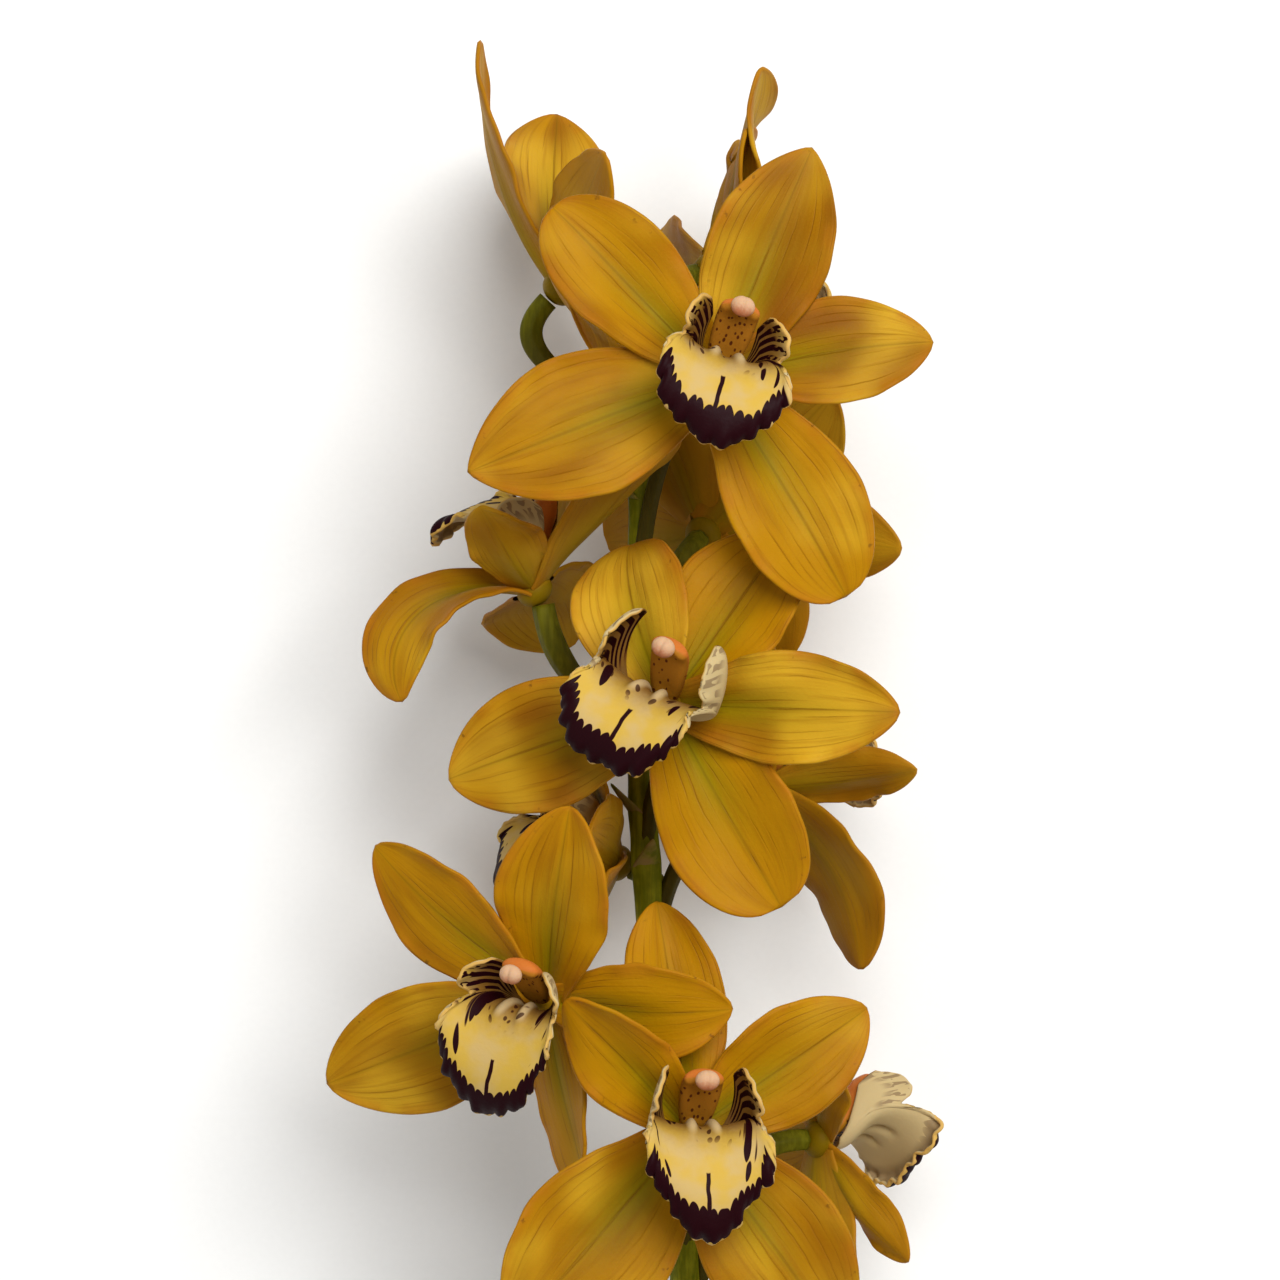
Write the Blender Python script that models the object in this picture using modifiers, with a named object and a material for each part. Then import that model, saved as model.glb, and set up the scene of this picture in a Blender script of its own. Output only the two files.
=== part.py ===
"""A cut cymbidium orchid stem, lying on a flat surface with its best side up.

X runs across the stem, +Y along it from the cut end to the tip, +Z up from the surface.
The scape with its pedicels and bracts is one green piece. Each bloom has four: its five tepals
grown together, its lip, its column, and the anther cap on the column's end.
Sizes are in millimetres and angles in degrees until an object is made, in metres.
"""

from dataclasses import dataclass, field, replace

import bmesh
import bpy
import numpy as np
from mathutils import Matrix, Vector

MM = 0.001
NODE_GAP = 0.3  # what touching pieces keep between them

# Colour and roughness of each kind of piece.
MATERIALS = {
    "scape": ((0.16, 0.26, 0.05), 0.5),
    "tepals": ((0.72, 0.41, 0.03), 0.4),
    "lip": ((0.75, 0.55, 0.25), 0.45),
    "column": ((0.75, 0.28, 0.1), 0.4),
    "anther_cap": ((0.85, 0.6, 0.5), 0.45),
}

# The scape, from its cut end to its tip: where its middle line runs, and how thick it is.
SCAPE_LINE = (
    (14.0, -276.0, 4.2),
    (15.0, -200.0, 6.5),
    (15.0, -120.0, 17.0),
    (14.0, -50.0, 33.0),
    (11.5, 10.0, 46.0),
    (5.0, 70.0, 51.0),
    (2.0, 125.0, 51.0),
    (2.5, 175.0, 52.0),
    (4.0, 200.0, 53.0),
)
SCAPE_RADIUS = (4.2, 4.0, 3.8, 3.6, 3.4, 3.2, 3.0, 2.6, 2.0)
SCAPE_STEPS = 24
SCAPE_SAMPLES = 400  # for finding the place where a pedicel leaves

# The pedicels, each with a small leaf under it.
PEDICEL_RADIUS = (1.9, 1.8, 1.9, 2.3, 2.7, 2.5)
PEDICEL_STEPS = 7
PEDICEL_OUT = 0.5  # how much it already points to its bloom where it leaves the scape
PEDICEL_TURN = 0.45  # the last share of it that turns to face the bloom's way
BRACT_LENGTH = 9.0
BRACT_WIDTH = 7.0
BRACT_TAPER = 0.7
BRACT_BELOW = 3.5  # how far down the scape from its pedicel it starts
BRACT_OUT = 2.4  # and how far out from the scape's middle line
BRACT_SPREAD = 0.55  # how far it bends away from the pedicel
BRACT_HUG = 2.0
BRACT_THICKNESS = 0.8
BRACT_STEPS = (3, 2)

# The tepals, and the hub that joins a bloom's five.
BLADE_THICKNESS = 1.0
BLADE_STEPS = (6, 4)  # along and across
BLADE_CLOSING = 0.25  # how much nearer together its rows are at the tip
BLADE_SAMPLES = 80  # for working out its middle line
CLAW_START = 1.5  # how far from the bloom's middle a blade begins
CLAW_EASE = 1.25  # how gently it widens from its claw
TIP_EASE = 1.85  # how late it narrows to its tip
CURL_EASE = 1.3  # how late its lean and its sway come
CUP_EASE = 1.5  # and its cup
EDGE_OFFSET = 2.1  # how far one edge's ripple runs behind the other's, in radians
PETAL_LIFT = 0.7  # petals stand in front of the sepals
HUB_RADIUS = 4.2
HUB_DEPTH = 3.4
HUB_STEPS = (7, 4)

# The surface: what would sink into it bends flat over this height, and lies on it.
FLOOR = 0.0
FLOOR_BLEND = 2.0
SETTLE = 0.3  # what is left this near is made quite flat

# The lip wraps the throat, spreads into the midlobe, and turns back at its margin.
# Each row is (share of the way out, radius, how far forward, height of its middle and its floor).
LIP_PROFILE = (
    (0.0, 2.6, 4.3, 0.5, -2.0),
    (0.2, 5.6, 7.6, 3.0, -1.4),
    (0.4, 8.8, 13.5, 4.5, 1.8),
    (0.55, 11.4, 18.5, 3.6, 0.2),
    (0.68, 13.6, 21.8, 2.2, -5.0),
    (0.8, 14.8, 23.4, 1.0, -10.7),
    (0.92, 15.6, 22.4, 0.0, -15.8),
    (1.0, 15.8, 19.8, -0.5, -18.4),
)
# How far out the lip reaches, from the middle of the midlobe round to a side lobe's top edge.
LIP_EXTENT = (
    (0.0, 1.0),
    (0.25, 0.98),
    (0.42, 0.95),
    (0.54, 0.9),
    (0.6, 0.74),
    (0.66, 0.52),
    (0.74, 0.6),
    (0.82, 0.63),
    (0.92, 0.58),
    (1.0, 0.46),
)
LIP_ROUND = (60.0, 137.0)  # half the angle that it wraps, at its base and at its side lobes
LIP_OPENING = 0.32  # the share of the way out where it first wraps that far
LIP_RISE = 1.3  # how its upper half stretches from a round funnel
LIP_BULGE = (7.0, 0.27, 0.62)  # how far its sides can swell, where they do most, and to where
LIP_SIDES = (0.3, 0.6)  # how far round the swelling starts, and is full
LIP_THICKNESS = 0.9
LIP_STEPS = (5, 8)

# The column arches out over the lip. Each row is (height, how far forward), from base to tip.
COLUMN_LINE = ((1.0, 3.9), (4.6, 7.6), (8.6, 11.2), (12.0, 14.6), (13.6, 18.6))
COLUMN_HALF_WIDTH = (2.7, 3.9, 4.5, 4.6, 4.2)
COLUMN_HALF_DEPTH = (1.8, 2.0, 2.2, 2.4, 2.4)
COLUMN_BLUNT = 0.6  # its ends are flat out to this share of their width
COLUMN_STEPS = (8, 5)
CAP_CENTRE = (0.0, 13.0, 21.2)
CAP_RADII = (2.7, 2.3, 2.0)
CAP_STEPS = (6, 4)


@dataclass(frozen=True)
class Blade:
    """One tepal. Angles are seen from in front of the bloom, clockwise from its top."""

    clock: float
    length: float
    width: float
    lean: tuple = (12.0, -8.0)  # towards the front, at its base and at its tip
    sway: float = 0.0  # how far the clock angle turns on the way to the tip
    twist: tuple = (0.0, 0.0)
    cup: tuple = (18.0, 14.0)  # how far each edge bends forward
    peak: float = 0.53  # where it is widest
    claw: float = 0.36  # its width at the base, as a share of the widest
    point: float = 0.68  # how sharp the tip is
    ripple: float = 0.8
    waves: float = 1.6
    phase: float = 0.0
    lift: float = 0.0


@dataclass(frozen=True)
class Bloom:
    """Where a bloom is, where it faces, and where its dorsal sepal points."""

    centre: tuple
    facing: tuple
    dorsal: tuple
    root: float  # where along the stem its pedicel leaves
    blades: dict = field(default_factory=dict)
    size: float = 1.0
    bow: float = 0.5  # how far the pedicel runs on before it turns
    lip_drop: float = 0.95  # how far the lip's midlobe hangs down
    lip_swing: float = 0.0  # and how far to the right
    lip_taper: float = 0.0  # how much the midlobe narrows on its way down
    lip_cup: float = 0.0  # how much its sides swell behind their margin
    neck: tuple = (0.0, 0.0, 0.0)  # what turns the pedicel's end away from the bloom's back


# The usual five tepals, which a bloom's own entries change.
TEPALS = {
    "dorsal": Blade(0, 54, 29, lean=(16, -4), cup=(22, 18)),
    "petal_left": Blade(-64, 51, 24, lean=(14, -10), lift=PETAL_LIFT),
    "petal_right": Blade(64, 51, 24, lean=(14, -10), lift=PETAL_LIFT),
    "sepal_left": Blade(-132, 55, 30, lean=(8, -12)),
    "sepal_right": Blade(132, 55, 30, lean=(8, -12)),
}

BLOOMS = {
    "bloom_01": Bloom(
        centre=(42.5, 27.0, 44),
        facing=(0.8, -0.02, -0.55),
        dorsal=(-0.6, 0.8, 0.0),
        root=-22,
        lip_drop=0.5,
        blades={
            "dorsal": dict(length=28, width=18, lean=(0, -20)),
            "petal_left": dict(clock=-50, length=32, lean=(-20, -60)),
            "petal_right": dict(clock=66, length=44),
            "sepal_left": dict(clock=-168, length=34, width=14, lean=(16, 28)),
            "sepal_right": dict(clock=148, length=50),
        },
    ),
    "bloom_02": Bloom(
        centre=(13.2, 31.2, 88),
        facing=(0.15, -0.03, 1),
        dorsal=(0.05, 1, 0),
        root=-12,
        lip_drop=1.25,
        lip_swing=2.0,
        lip_taper=0.3,
        lip_cup=0.4,
        blades={
            "dorsal": dict(clock=-10, length=51, width=24, lean=(2, -26)),
            "petal_left": dict(clock=-47, length=42, width=22, twist=(0, 45), lean=(25, -6)),
            "petal_right": dict(clock=52, length=47, width=26),
            "sepal_left": dict(clock=-141, length=58, width=36),
            "sepal_right": dict(clock=141, length=58, width=33),
        },
    ),
    "bloom_03": Bloom(
        centre=(-18.5, 60.5, 87),
        facing=(-0.5, -0.31, 1),
        dorsal=(0.12, 1, 0.3),
        root=22,
        size=0.97,
        lip_drop=1.28,
        lip_swing=-3.2,
        lip_taper=0.25,
        blades={
            "dorsal": dict(clock=5, sway=-6, length=48, lean=(16, -16)),
            "petal_left": dict(clock=-58, length=52, width=24),
            "petal_right": dict(clock=82, length=44, lean=(8, -38)),
            "sepal_left": dict(clock=-122, length=58, lean=(12, 4)),
            "sepal_right": dict(clock=166, length=59, width=22, twist=(0, -60), lean=(-2, -14)),
        },
    ),
    "bloom_04": Bloom(
        centre=(-3, 89.8, 46),
        facing=(-0.85, 0.3, 0.35),
        dorsal=(0.1, 0.98, 0.1),
        root=62,
        blades={
            "dorsal": dict(length=35, lean=(43, 26)),
            "petal_left": dict(length=42),
            "petal_right": dict(clock=80, length=36, lean=(30, 40)),
            "sepal_left": dict(clock=-112, length=56),
            "sepal_right": dict(clock=128, length=40, lean=(20, 30)),
        },
    ),
    "bloom_05": Bloom(
        centre=(30, 107, 41),
        facing=(0.75, 0.5, -0.45),
        dorsal=(-0.45, 0.85, 0.2),
        root=70,
        blades={
            "dorsal": dict(length=40, lean=(20, 30)),
            "petal_left": dict(clock=-104, length=38, width=15, lean=(30, 30)),
            "petal_right": dict(clock=90, length=54, lean=(45, 55)),
            "sepal_left": dict(clock=-158, length=48, width=27, lean=(10, -36), twist=(0, 20)),
            "sepal_right": dict(clock=112, length=42),
        },
    ),
    "bloom_06": Bloom(
        centre=(8.4, 126, 88),
        facing=(-0.32, 0.05, 1),
        dorsal=(0.44, 0.9, 0),
        root=92,
        lip_swing=-2.5,
        lip_cup=1.0,
        blades={
            "dorsal": dict(clock=8, length=47, lean=(0, -34)),
            "petal_left": dict(clock=-43.5, length=43, width=28, lean=(26, -70)),
            "petal_right": dict(clock=67, length=54, width=26, ripple=1.5, waves=2.2),
            "sepal_left": dict(clock=-133, length=53, width=30),
            "sepal_right": dict(clock=124, length=51, width=33, peak=0.58, point=0.42),
        },
    ),
    "bloom_07": Bloom(
        centre=(16.6, 164.4, 42),
        facing=(0.3, 0.35, -0.87),
        dorsal=(0.6, 0.65, 0.47),
        root=125,
        blades={
            "dorsal": dict(length=44, lean=(20, 0)),
            "petal_left": dict(clock=-50, length=45),
            "petal_right": dict(clock=66, length=38),
            "sepal_left": dict(clock=-118, length=38, lean=(20, 10)),
            "sepal_right": dict(clock=151, length=34, lean=(30, 30)),
        },
    ),
    "bloom_08": Bloom(
        centre=(-21.5, 151.5, 60),
        facing=(-0.5, 0.86, 0),
        dorsal=(0.8, 0.5, 0.34),
        root=104,
        lip_drop=0.8,
        neck=(0.35, 0.1, 0.0),
        blades={
            "dorsal": dict(length=50, width=26, lean=(24, 8), twist=(0, 30)),
            "petal_left": dict(clock=-62, length=46, lean=(30, 40)),
            "petal_right": dict(clock=72, length=36, width=18, lean=(30, 45), twist=(0, 30)),
            "sepal_left": dict(clock=-110, length=42, lean=(0, -50)),
            "sepal_right": dict(clock=146, length=49, width=23, lean=(46, -85), twist=(20, 45)),
        },
    ),
    "bloom_09": Bloom(
        centre=(18.8, 198.8, 95),
        facing=(0.1, 0.12, 1),
        dorsal=(0.31, 0.95, 0),
        root=154,
        lip_drop=1.0,
        lip_swing=1.2,
        bow=0.62,
        blades={
            "dorsal": dict(clock=5, length=54, point=0.8),
            "petal_left": dict(clock=-62.6, length=51, width=27, peak=0.6, point=0.5),
            "petal_right": dict(clock=60, sway=8, length=48),
            "sepal_left": dict(clock=-129.4, length=58, width=33, point=0.8),
            "sepal_right": dict(clock=131, length=56, width=31, lean=(8, -20), peak=0.6, point=0.48),
        },
    ),
    "bloom_10": Bloom(
        centre=(18, 224, 44),
        facing=(0.8, 0.2, -0.55),
        dorsal=(0.2, 0.82, 0.5),
        root=188,
        blades={
            "dorsal": dict(clock=0, length=52, width=26, lean=(10, -5), twist=(0, 66)),
            "petal_left": dict(clock=-8, length=41, width=22, lean=(0, -10), twist=(15, 55)),
            "petal_right": dict(clock=34, length=30, width=20, lean=(25, 35), twist=(20, 50)),
            "sepal_left": dict(clock=-135, length=28),
            "sepal_right": dict(clock=128, length=53, lean=(20, 20)),
        },
    ),
    "bloom_11": Bloom(
        centre=(-16, 219.8, 52),
        facing=(0.7, 0.71, 0),
        dorsal=(-0.71, 0.7, 0),
        root=176,
        lip_drop=0.5,
        blades={
            "dorsal": dict(clock=0, length=59, width=22, lean=(12, 50), twist=(-28, 12)),
            "petal_left": dict(clock=-72, length=47, lean=(30, 42), twist=(0, 25)),
            "petal_right": dict(clock=46, length=50, width=30, lean=(30, 40), twist=(0, 50)),
            "sepal_left": dict(clock=-118, length=38, lean=(0, -20)),
            "sepal_right": dict(clock=135, length=44),
        },
    ),
}


def unit(vector):
    vector = np.asarray(vector, float)
    return vector / np.linalg.norm(vector)


def smooth_line(points, share):
    """Points at these shares, 0 to 1, of a smooth curve through all of points."""
    points = np.asarray(points, float)
    points = points.reshape(len(points), -1)
    ends = np.vstack([2 * points[0] - points[1], points, 2 * points[-1] - points[-2]])
    place = np.clip(np.asarray(share, float), 0, 1) * (len(points) - 1)
    first = np.minimum(place.astype(int), len(points) - 2)
    t = (place - first)[:, None]
    a, b, c, d = (ends[first + i] for i in range(4))
    square = (2 * a - 5 * b + 4 * c - d) * t**2
    cube = (3 * b - a - 3 * c + d) * t**3
    return 0.5 * (2 * b + (c - a) * t + square + cube)


def bloom_axes(bloom):
    """The bloom's right, up and forward directions as its viewer sees them, as columns."""
    forward = unit(bloom.facing)
    dorsal = np.asarray(bloom.dorsal, float)
    up = unit(dorsal - (dorsal @ forward) * forward)
    return np.column_stack([np.cross(up, forward), up, forward])


def to_stem(bloom, points):
    """Points of a bloom's own frame, in the stem's frame."""
    return np.asarray(bloom.centre) + bloom.size * points @ bloom_axes(bloom).T


def to_bloom(bloom, points):
    """Points of the stem's frame, in the bloom's own."""
    return (points - np.asarray(bloom.centre)) @ bloom_axes(bloom) / bloom.size


def above_floor(points, rest):
    """Bends what would sink into the surface so that it lies on it, at the height rest."""
    over = points[:, 2] - FLOOR - rest
    near = np.clip(over + FLOOR_BLEND, 0, 2 * FLOOR_BLEND)
    bent = points.copy()
    bent[:, 2] = FLOOR + rest + np.where(over > FLOOR_BLEND, over, near**2 / (4 * FLOOR_BLEND))
    return bent


def half_width(blade, u):
    """Half the blade's width at u: a narrow claw, its widest place, then a rounded point."""
    rise = np.sin(0.5 * np.pi * np.clip(u / blade.peak, 0, 1)) ** CLAW_EASE
    past = np.clip((u - blade.peak) / (1 - blade.peak), 0, 1)
    fall = (1 - past**TIP_EASE) ** blade.point
    share = np.where(u < blade.peak, blade.claw + (1 - blade.claw) * rise, fall)
    return 0.5 * blade.width * share


def blade_frame(blade, u):
    """Points of the blade's middle line at u, its sideways and its facing directions there."""
    share = np.linspace(0, 1, BLADE_SAMPLES + 1)
    lean = np.radians(np.interp(share**CURL_EASE, (0, 1), blade.lean))
    clock = np.radians(blade.clock + blade.sway * share**CURL_EASE)
    level = np.zeros_like(clock)
    flat = np.column_stack([np.sin(clock), np.cos(clock), level])
    side = np.column_stack([np.cos(clock), -np.sin(clock), level])
    front = np.array([0.0, 0.0, 1.0])
    along = np.cos(lean)[:, None] * flat + np.sin(lean)[:, None] * front
    step = 0.5 * (along[1:] + along[:-1]) * blade.length / BLADE_SAMPLES
    line = np.vstack([np.zeros(3), np.cumsum(step, axis=0)])
    line += CLAW_START * flat[0] + blade.lift * front

    def at(values):
        return np.column_stack([np.interp(u, share, column) for column in values.T])

    side, face = at(side), at(np.cross(side, along))
    turn = np.radians(np.interp(u, (0, 1), blade.twist))[:, None]
    turned = np.cos(turn) * side + np.sin(turn) * face
    return at(line), turned, np.cos(turn) * face - np.sin(turn) * side


def blade_points(blade, u, v):
    """The blade's middle surface in its bloom's frame: u from base to tip, v from -1 to 1."""
    middle, side, face = blade_frame(blade, u)
    half = half_width(blade, u)
    bend = np.radians(np.interp(u**CUP_EASE, (0, 1), blade.cup))
    across = half * np.sin(bend * v) / bend
    rise = half * (1 - np.cos(bend * v)) / bend
    behind = np.where(v < 0, EDGE_OFFSET, 0.0)
    wave = np.sin(2 * np.pi * (blade.waves * u + blade.phase) + behind)
    rise = rise + blade.ripple * v**2 * wave * np.sqrt(np.sin(np.pi * np.clip(u, 0, 1)))
    return middle + across[:, None] * side + rise[:, None] * face


def lip_points(bloom, u, v):
    """The lip's middle surface: u from its claw out to its margin, v from -1 to 1 round it."""
    extent = np.array(LIP_EXTENT)
    share = u * np.interp(np.abs(v), extent[:, 0], extent[:, 1])
    rows = np.array(LIP_PROFILE).T
    radius, forward, centre, floor = (np.interp(share, rows[0], row) for row in rows[1:])
    bulge, fullest, gone = LIP_BULGE
    swell = np.sin(np.pi * np.interp(share, (0, fullest, gone), (0, 0.5, 1)))
    side = np.interp(np.abs(v), LIP_SIDES, (0, 1))
    radius = radius + bloom.lip_cup * bulge * side * swell
    angle = np.radians(v * np.interp(share, (0, LIP_OPENING), LIP_ROUND))
    below = np.clip(np.cos(angle), 0, 1)
    above = np.clip(-np.cos(angle), 0, 1)
    hang = np.interp(share, (LIP_OPENING, 1), (1, bloom.lip_drop))
    floor = np.where(floor < 0, hang, 1) * floor
    height = centre * (1 - below) + floor * below + LIP_RISE * radius * above
    across = radius * np.sin(angle) * (1 - bloom.lip_taper * below * share**2)
    return np.column_stack([across + bloom.lip_swing * share**2, height, forward])


def column_points(ball):
    """A unit ball's points drawn out along the column, in its bloom's frame."""
    share = 0.5 * (1 + ball[:, 2])
    spread = np.linalg.norm(ball[:, :2], axis=1)
    turn = ball[:, :2] / np.maximum(spread, 1e-9)[:, None]
    full = np.minimum(1.0, spread / COLUMN_BLUNT)
    line = smooth_line(COLUMN_LINE, share)
    ahead = smooth_line(COLUMN_LINE, share + 0.01) - smooth_line(COLUMN_LINE, share - 0.01)
    ahead /= np.linalg.norm(ahead, axis=1)[:, None]
    wide = smooth_line(COLUMN_HALF_WIDTH, share)[:, 0] * full * turn[:, 0]
    deep = smooth_line(COLUMN_HALF_DEPTH, share)[:, 0] * full * turn[:, 1]
    return np.column_stack([wide, line[:, 0] + deep * ahead[:, 1], line[:, 1] - deep * ahead[:, 0]])


def blades_of(bloom):
    """The bloom's five tepals, the usual ones with this bloom's own changes."""
    return {name: replace(usual, **bloom.blades.get(name, {})) for name, usual in TEPALS.items()}


def pedicel_line(bloom):
    """The pedicel's middle line, from inside the scape to just behind the bloom."""
    scape = smooth_line(SCAPE_LINE, np.linspace(0, 1, SCAPE_SAMPLES))
    start = scape[np.argmin(np.abs(scape[:, 1] - bloom.root))]
    forward = unit(bloom.facing)
    end = np.asarray(bloom.centre) - forward * bloom.size * (HUB_DEPTH + NODE_GAP)
    reach = np.linalg.norm(end - start)
    leave = unit(np.array([0.0, 1.0, 0.0]) + PEDICEL_OUT * unit(end - start))
    first = start + leave * reach * bloom.bow
    second = end - unit(forward + bloom.neck) * reach * PEDICEL_TURN
    t = np.linspace(0, 1, PEDICEL_STEPS + 1)[:, None]
    s = 1 - t
    return s**3 * start + 3 * s**2 * t * first + 3 * s * t**2 * second + t**3 * end


def bract_points(bloom, u, v):
    """The small leaf under a pedicel, as a sheet that hugs the pedicel's underside."""
    line = pedicel_line(bloom)
    ahead = unit(line[1] - line[0])
    out = unit(np.array([ahead[0], 0.0, ahead[2]]))
    side = np.cross(ahead, out)
    rise = unit(ahead + BRACT_SPREAD * out)
    half = 0.5 * BRACT_WIDTH * (1 - u) ** BRACT_TAPER
    start = line[0] - BRACT_BELOW * np.array([0.0, 1.0, 0.0]) + BRACT_OUT * out
    points = start + BRACT_LENGTH * u[:, None] * rise + (half * v)[:, None] * side
    return points - (BRACT_HUG * v**2 * (1 - u))[:, None] * out


def clear_scene():
    for item in list(bpy.data.objects):
        bpy.data.objects.remove(item, do_unlink=True)


def make_material(name, colour, roughness):
    material = bpy.data.materials.new(name)
    material.use_nodes = True
    shader = material.node_tree.nodes["Principled BSDF"]
    shader.inputs["Base Color"].default_value = (*colour, 1.0)
    shader.inputs["Roughness"].default_value = roughness
    shader.inputs["Metallic"].default_value = 0.0
    return material


def make_mount(name, bloom, collection):
    """An empty in a bloom's middle, turned the way it faces, that its pieces are placed by."""
    mount = bpy.data.objects.new(name, None)
    turn = Matrix(bloom_axes(bloom).tolist()).to_4x4()
    middle = Matrix.Translation(Vector(bloom.centre) * MM)
    mount.matrix_world = middle @ turn @ Matrix.Scale(bloom.size, 4)
    collection.objects.link(mount)
    return mount


def place(name, mesh, collection, mount=None):
    item = bpy.data.objects.new(name, mesh)
    item.parent = mount
    collection.objects.link(item)
    return item


def finished(name, bm):
    """A mesh in metres from one made in millimetres."""
    bmesh.ops.scale(bm, vec=(MM, MM, MM), verts=bm.verts)
    mesh = bpy.data.meshes.new(name)
    bm.to_mesh(mesh)
    bm.free()
    return mesh


def move_corners(bm, points):
    for corner, point in zip(bm.verts, points):
        corner.co = point


def sheet(name, surface, steps, thickness, collection, mount=None):
    """A thin piece: a grid laid along surface(u, v), thickened half to each side."""
    bm = bmesh.new()
    bmesh.ops.create_grid(bm, x_segments=steps[0], y_segments=steps[1], size=1.0)
    corners = np.array([corner.co for corner in bm.verts])
    share = 0.5 * (corners[:, 0] + 1)
    move_corners(bm, surface(share * (1 + BLADE_CLOSING * (1 - share)), corners[:, 1]))
    bmesh.ops.remove_doubles(bm, verts=bm.verts, dist=0.01)
    bmesh.ops.triangulate(bm, faces=bm.faces)
    bmesh.ops.recalc_face_normals(bm, faces=bm.faces)
    item = place(name, finished(name, bm), collection, mount)
    skin = item.modifiers.new("Thickness", "SOLIDIFY")
    skin.thickness = thickness * MM
    skin.offset = 0.0
    return item


def ball(name, surface, steps, collection, mount=None):
    """A rounded solid: a unit ball whose points are moved by surface(points)."""
    bm = bmesh.new()
    bmesh.ops.create_uvsphere(bm, u_segments=steps[0], v_segments=steps[1], radius=1.0)
    move_corners(bm, surface(np.array([corner.co for corner in bm.verts])))
    return place(name, finished(name, bm), collection, mount)


def solid_mesh(item):
    """An object's mesh with its modifiers applied, or a curve's as a closed mesh."""
    bpy.context.view_layer.update()
    graph = bpy.context.evaluated_depsgraph_get()
    return bpy.data.meshes.new_from_object(item.evaluated_get(graph))


def rod(name, line, radii, collection):
    """A rod along a line of points, with a radius at each."""
    curve = bpy.data.curves.new(name, "CURVE")
    curve.dimensions = "3D"
    curve.bevel_depth = MM
    curve.bevel_resolution = 2
    curve.use_fill_caps = True
    spline = curve.splines.new("POLY")
    spline.points.add(len(line) - 1)
    for knot, point, radius in zip(spline.points, line * MM, radii):
        knot.co = (*point, 1.0)
        knot.radius = radius
    drawn = place(name + "_line", curve, collection)
    mesh = solid_mesh(drawn)
    bpy.data.objects.remove(drawn, do_unlink=True)
    bm = bmesh.new()
    bm.from_mesh(mesh)
    bmesh.ops.remove_doubles(bm, verts=bm.verts, dist=0.01 * MM)
    bm.to_mesh(mesh)
    bm.free()
    return place(name, mesh, collection)


def drop_scraps(mesh):
    """Keeps the largest of a mesh's loose bodies."""
    bm = bmesh.new()
    bm.from_mesh(mesh)
    unseen = set(bm.verts)
    bodies = []
    while unseen:
        body = set()
        edge = {unseen.pop()}
        while edge:
            body |= edge
            edge = {link.other_vert(corner) for corner in edge for link in corner.link_edges} - body
        unseen -= body
        bodies.append(body)
    bodies.sort(key=len)
    loose = [corner for body in bodies[:-1] for corner in body]
    bmesh.ops.delete(bm, geom=loose, context="VERTS")
    bm.to_mesh(mesh)
    bm.free()


def join_all(name, first, others, collection, material):
    """One body from the piece first and every object in the collection others."""
    union = first.modifiers.new("Union", "BOOLEAN")
    union.operation = "UNION"
    union.solver = "MANIFOLD"
    union.operand_type = "COLLECTION"
    union.collection = others
    mesh = solid_mesh(first)
    mount = first.parent
    for item in [first, *others.objects]:
        bpy.data.objects.remove(item, do_unlink=True)
    bpy.data.collections.remove(others)
    drop_scraps(mesh)
    mesh.name = name
    mesh.materials.clear()
    mesh.materials.append(material)
    return place(name, mesh, collection, mount)


def settle(item):
    """Flattens what lies on the surface, so that the stem rests on flat spots."""
    bpy.context.view_layer.update()
    back = item.matrix_world.inverted()
    for corner in item.data.vertices:
        spot = item.matrix_world @ corner.co
        if spot.z < SETTLE * MM:
            spot.z = FLOOR * MM
            corner.co = back @ spot


def make_tepals(name, bloom, mount, collection, scraps, material):
    repeats = bpy.data.collections.new(name + "_repeats")
    scraps.children.link(repeats)

    def laid(blade):
        def surface(u, v):
            reached = to_stem(bloom, blade_points(blade, u, v))
            return to_bloom(bloom, above_floor(reached, 0.5 * BLADE_THICKNESS))

        return surface

    for part, blade in blades_of(bloom).items():
        sheet(f"{name}_{part}", laid(blade), BLADE_STEPS, BLADE_THICKNESS, repeats, mount)
    radii = (HUB_RADIUS, HUB_RADIUS, HUB_DEPTH)
    hub = ball(name + "_hub", lambda points: points * radii, HUB_STEPS, scraps, mount)
    settle(join_all(name, hub, repeats, collection, material))


def make_bloom(name, bloom, collection, scraps, materials):
    mount = make_mount(name, bloom, collection)
    make_tepals(name + "_tepals", bloom, mount, collection, scraps, materials["tepals"])

    def lip_surface(u, v):
        return lip_points(bloom, u, v)

    def cap_surface(points):
        return CAP_CENTRE + points * CAP_RADII

    pieces = {
        "lip": sheet(name + "_lip", lip_surface, LIP_STEPS, LIP_THICKNESS, collection, mount),
        "column": ball(name + "_column", column_points, COLUMN_STEPS, collection, mount),
        "anther_cap": ball(name + "_anther_cap", cap_surface, CAP_STEPS, collection, mount),
    }
    for kind, item in pieces.items():
        item.data.materials.append(materials[kind])


def make_scape(collection, scraps, material):
    repeats = bpy.data.collections.new("scape_repeats")
    scraps.children.link(repeats)
    for name, bloom in BLOOMS.items():

        def bract_surface(u, v, bloom=bloom):
            return bract_points(bloom, u, v)

        line = pedicel_line(bloom)
        radii = smooth_line(PEDICEL_RADIUS, np.linspace(0, 1, len(line)))[:, 0]
        rod(f"{name}_pedicel", line, radii, repeats)
        sheet(f"{name}_bract", bract_surface, BRACT_STEPS, BRACT_THICKNESS, repeats)
    share = np.linspace(0, 1, SCAPE_STEPS + 1)
    radii = smooth_line(SCAPE_RADIUS, share)[:, 0]
    trunk = rod("scape_trunk", smooth_line(SCAPE_LINE, share), radii, scraps)
    settle(join_all("scape", trunk, repeats, collection, material))


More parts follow.
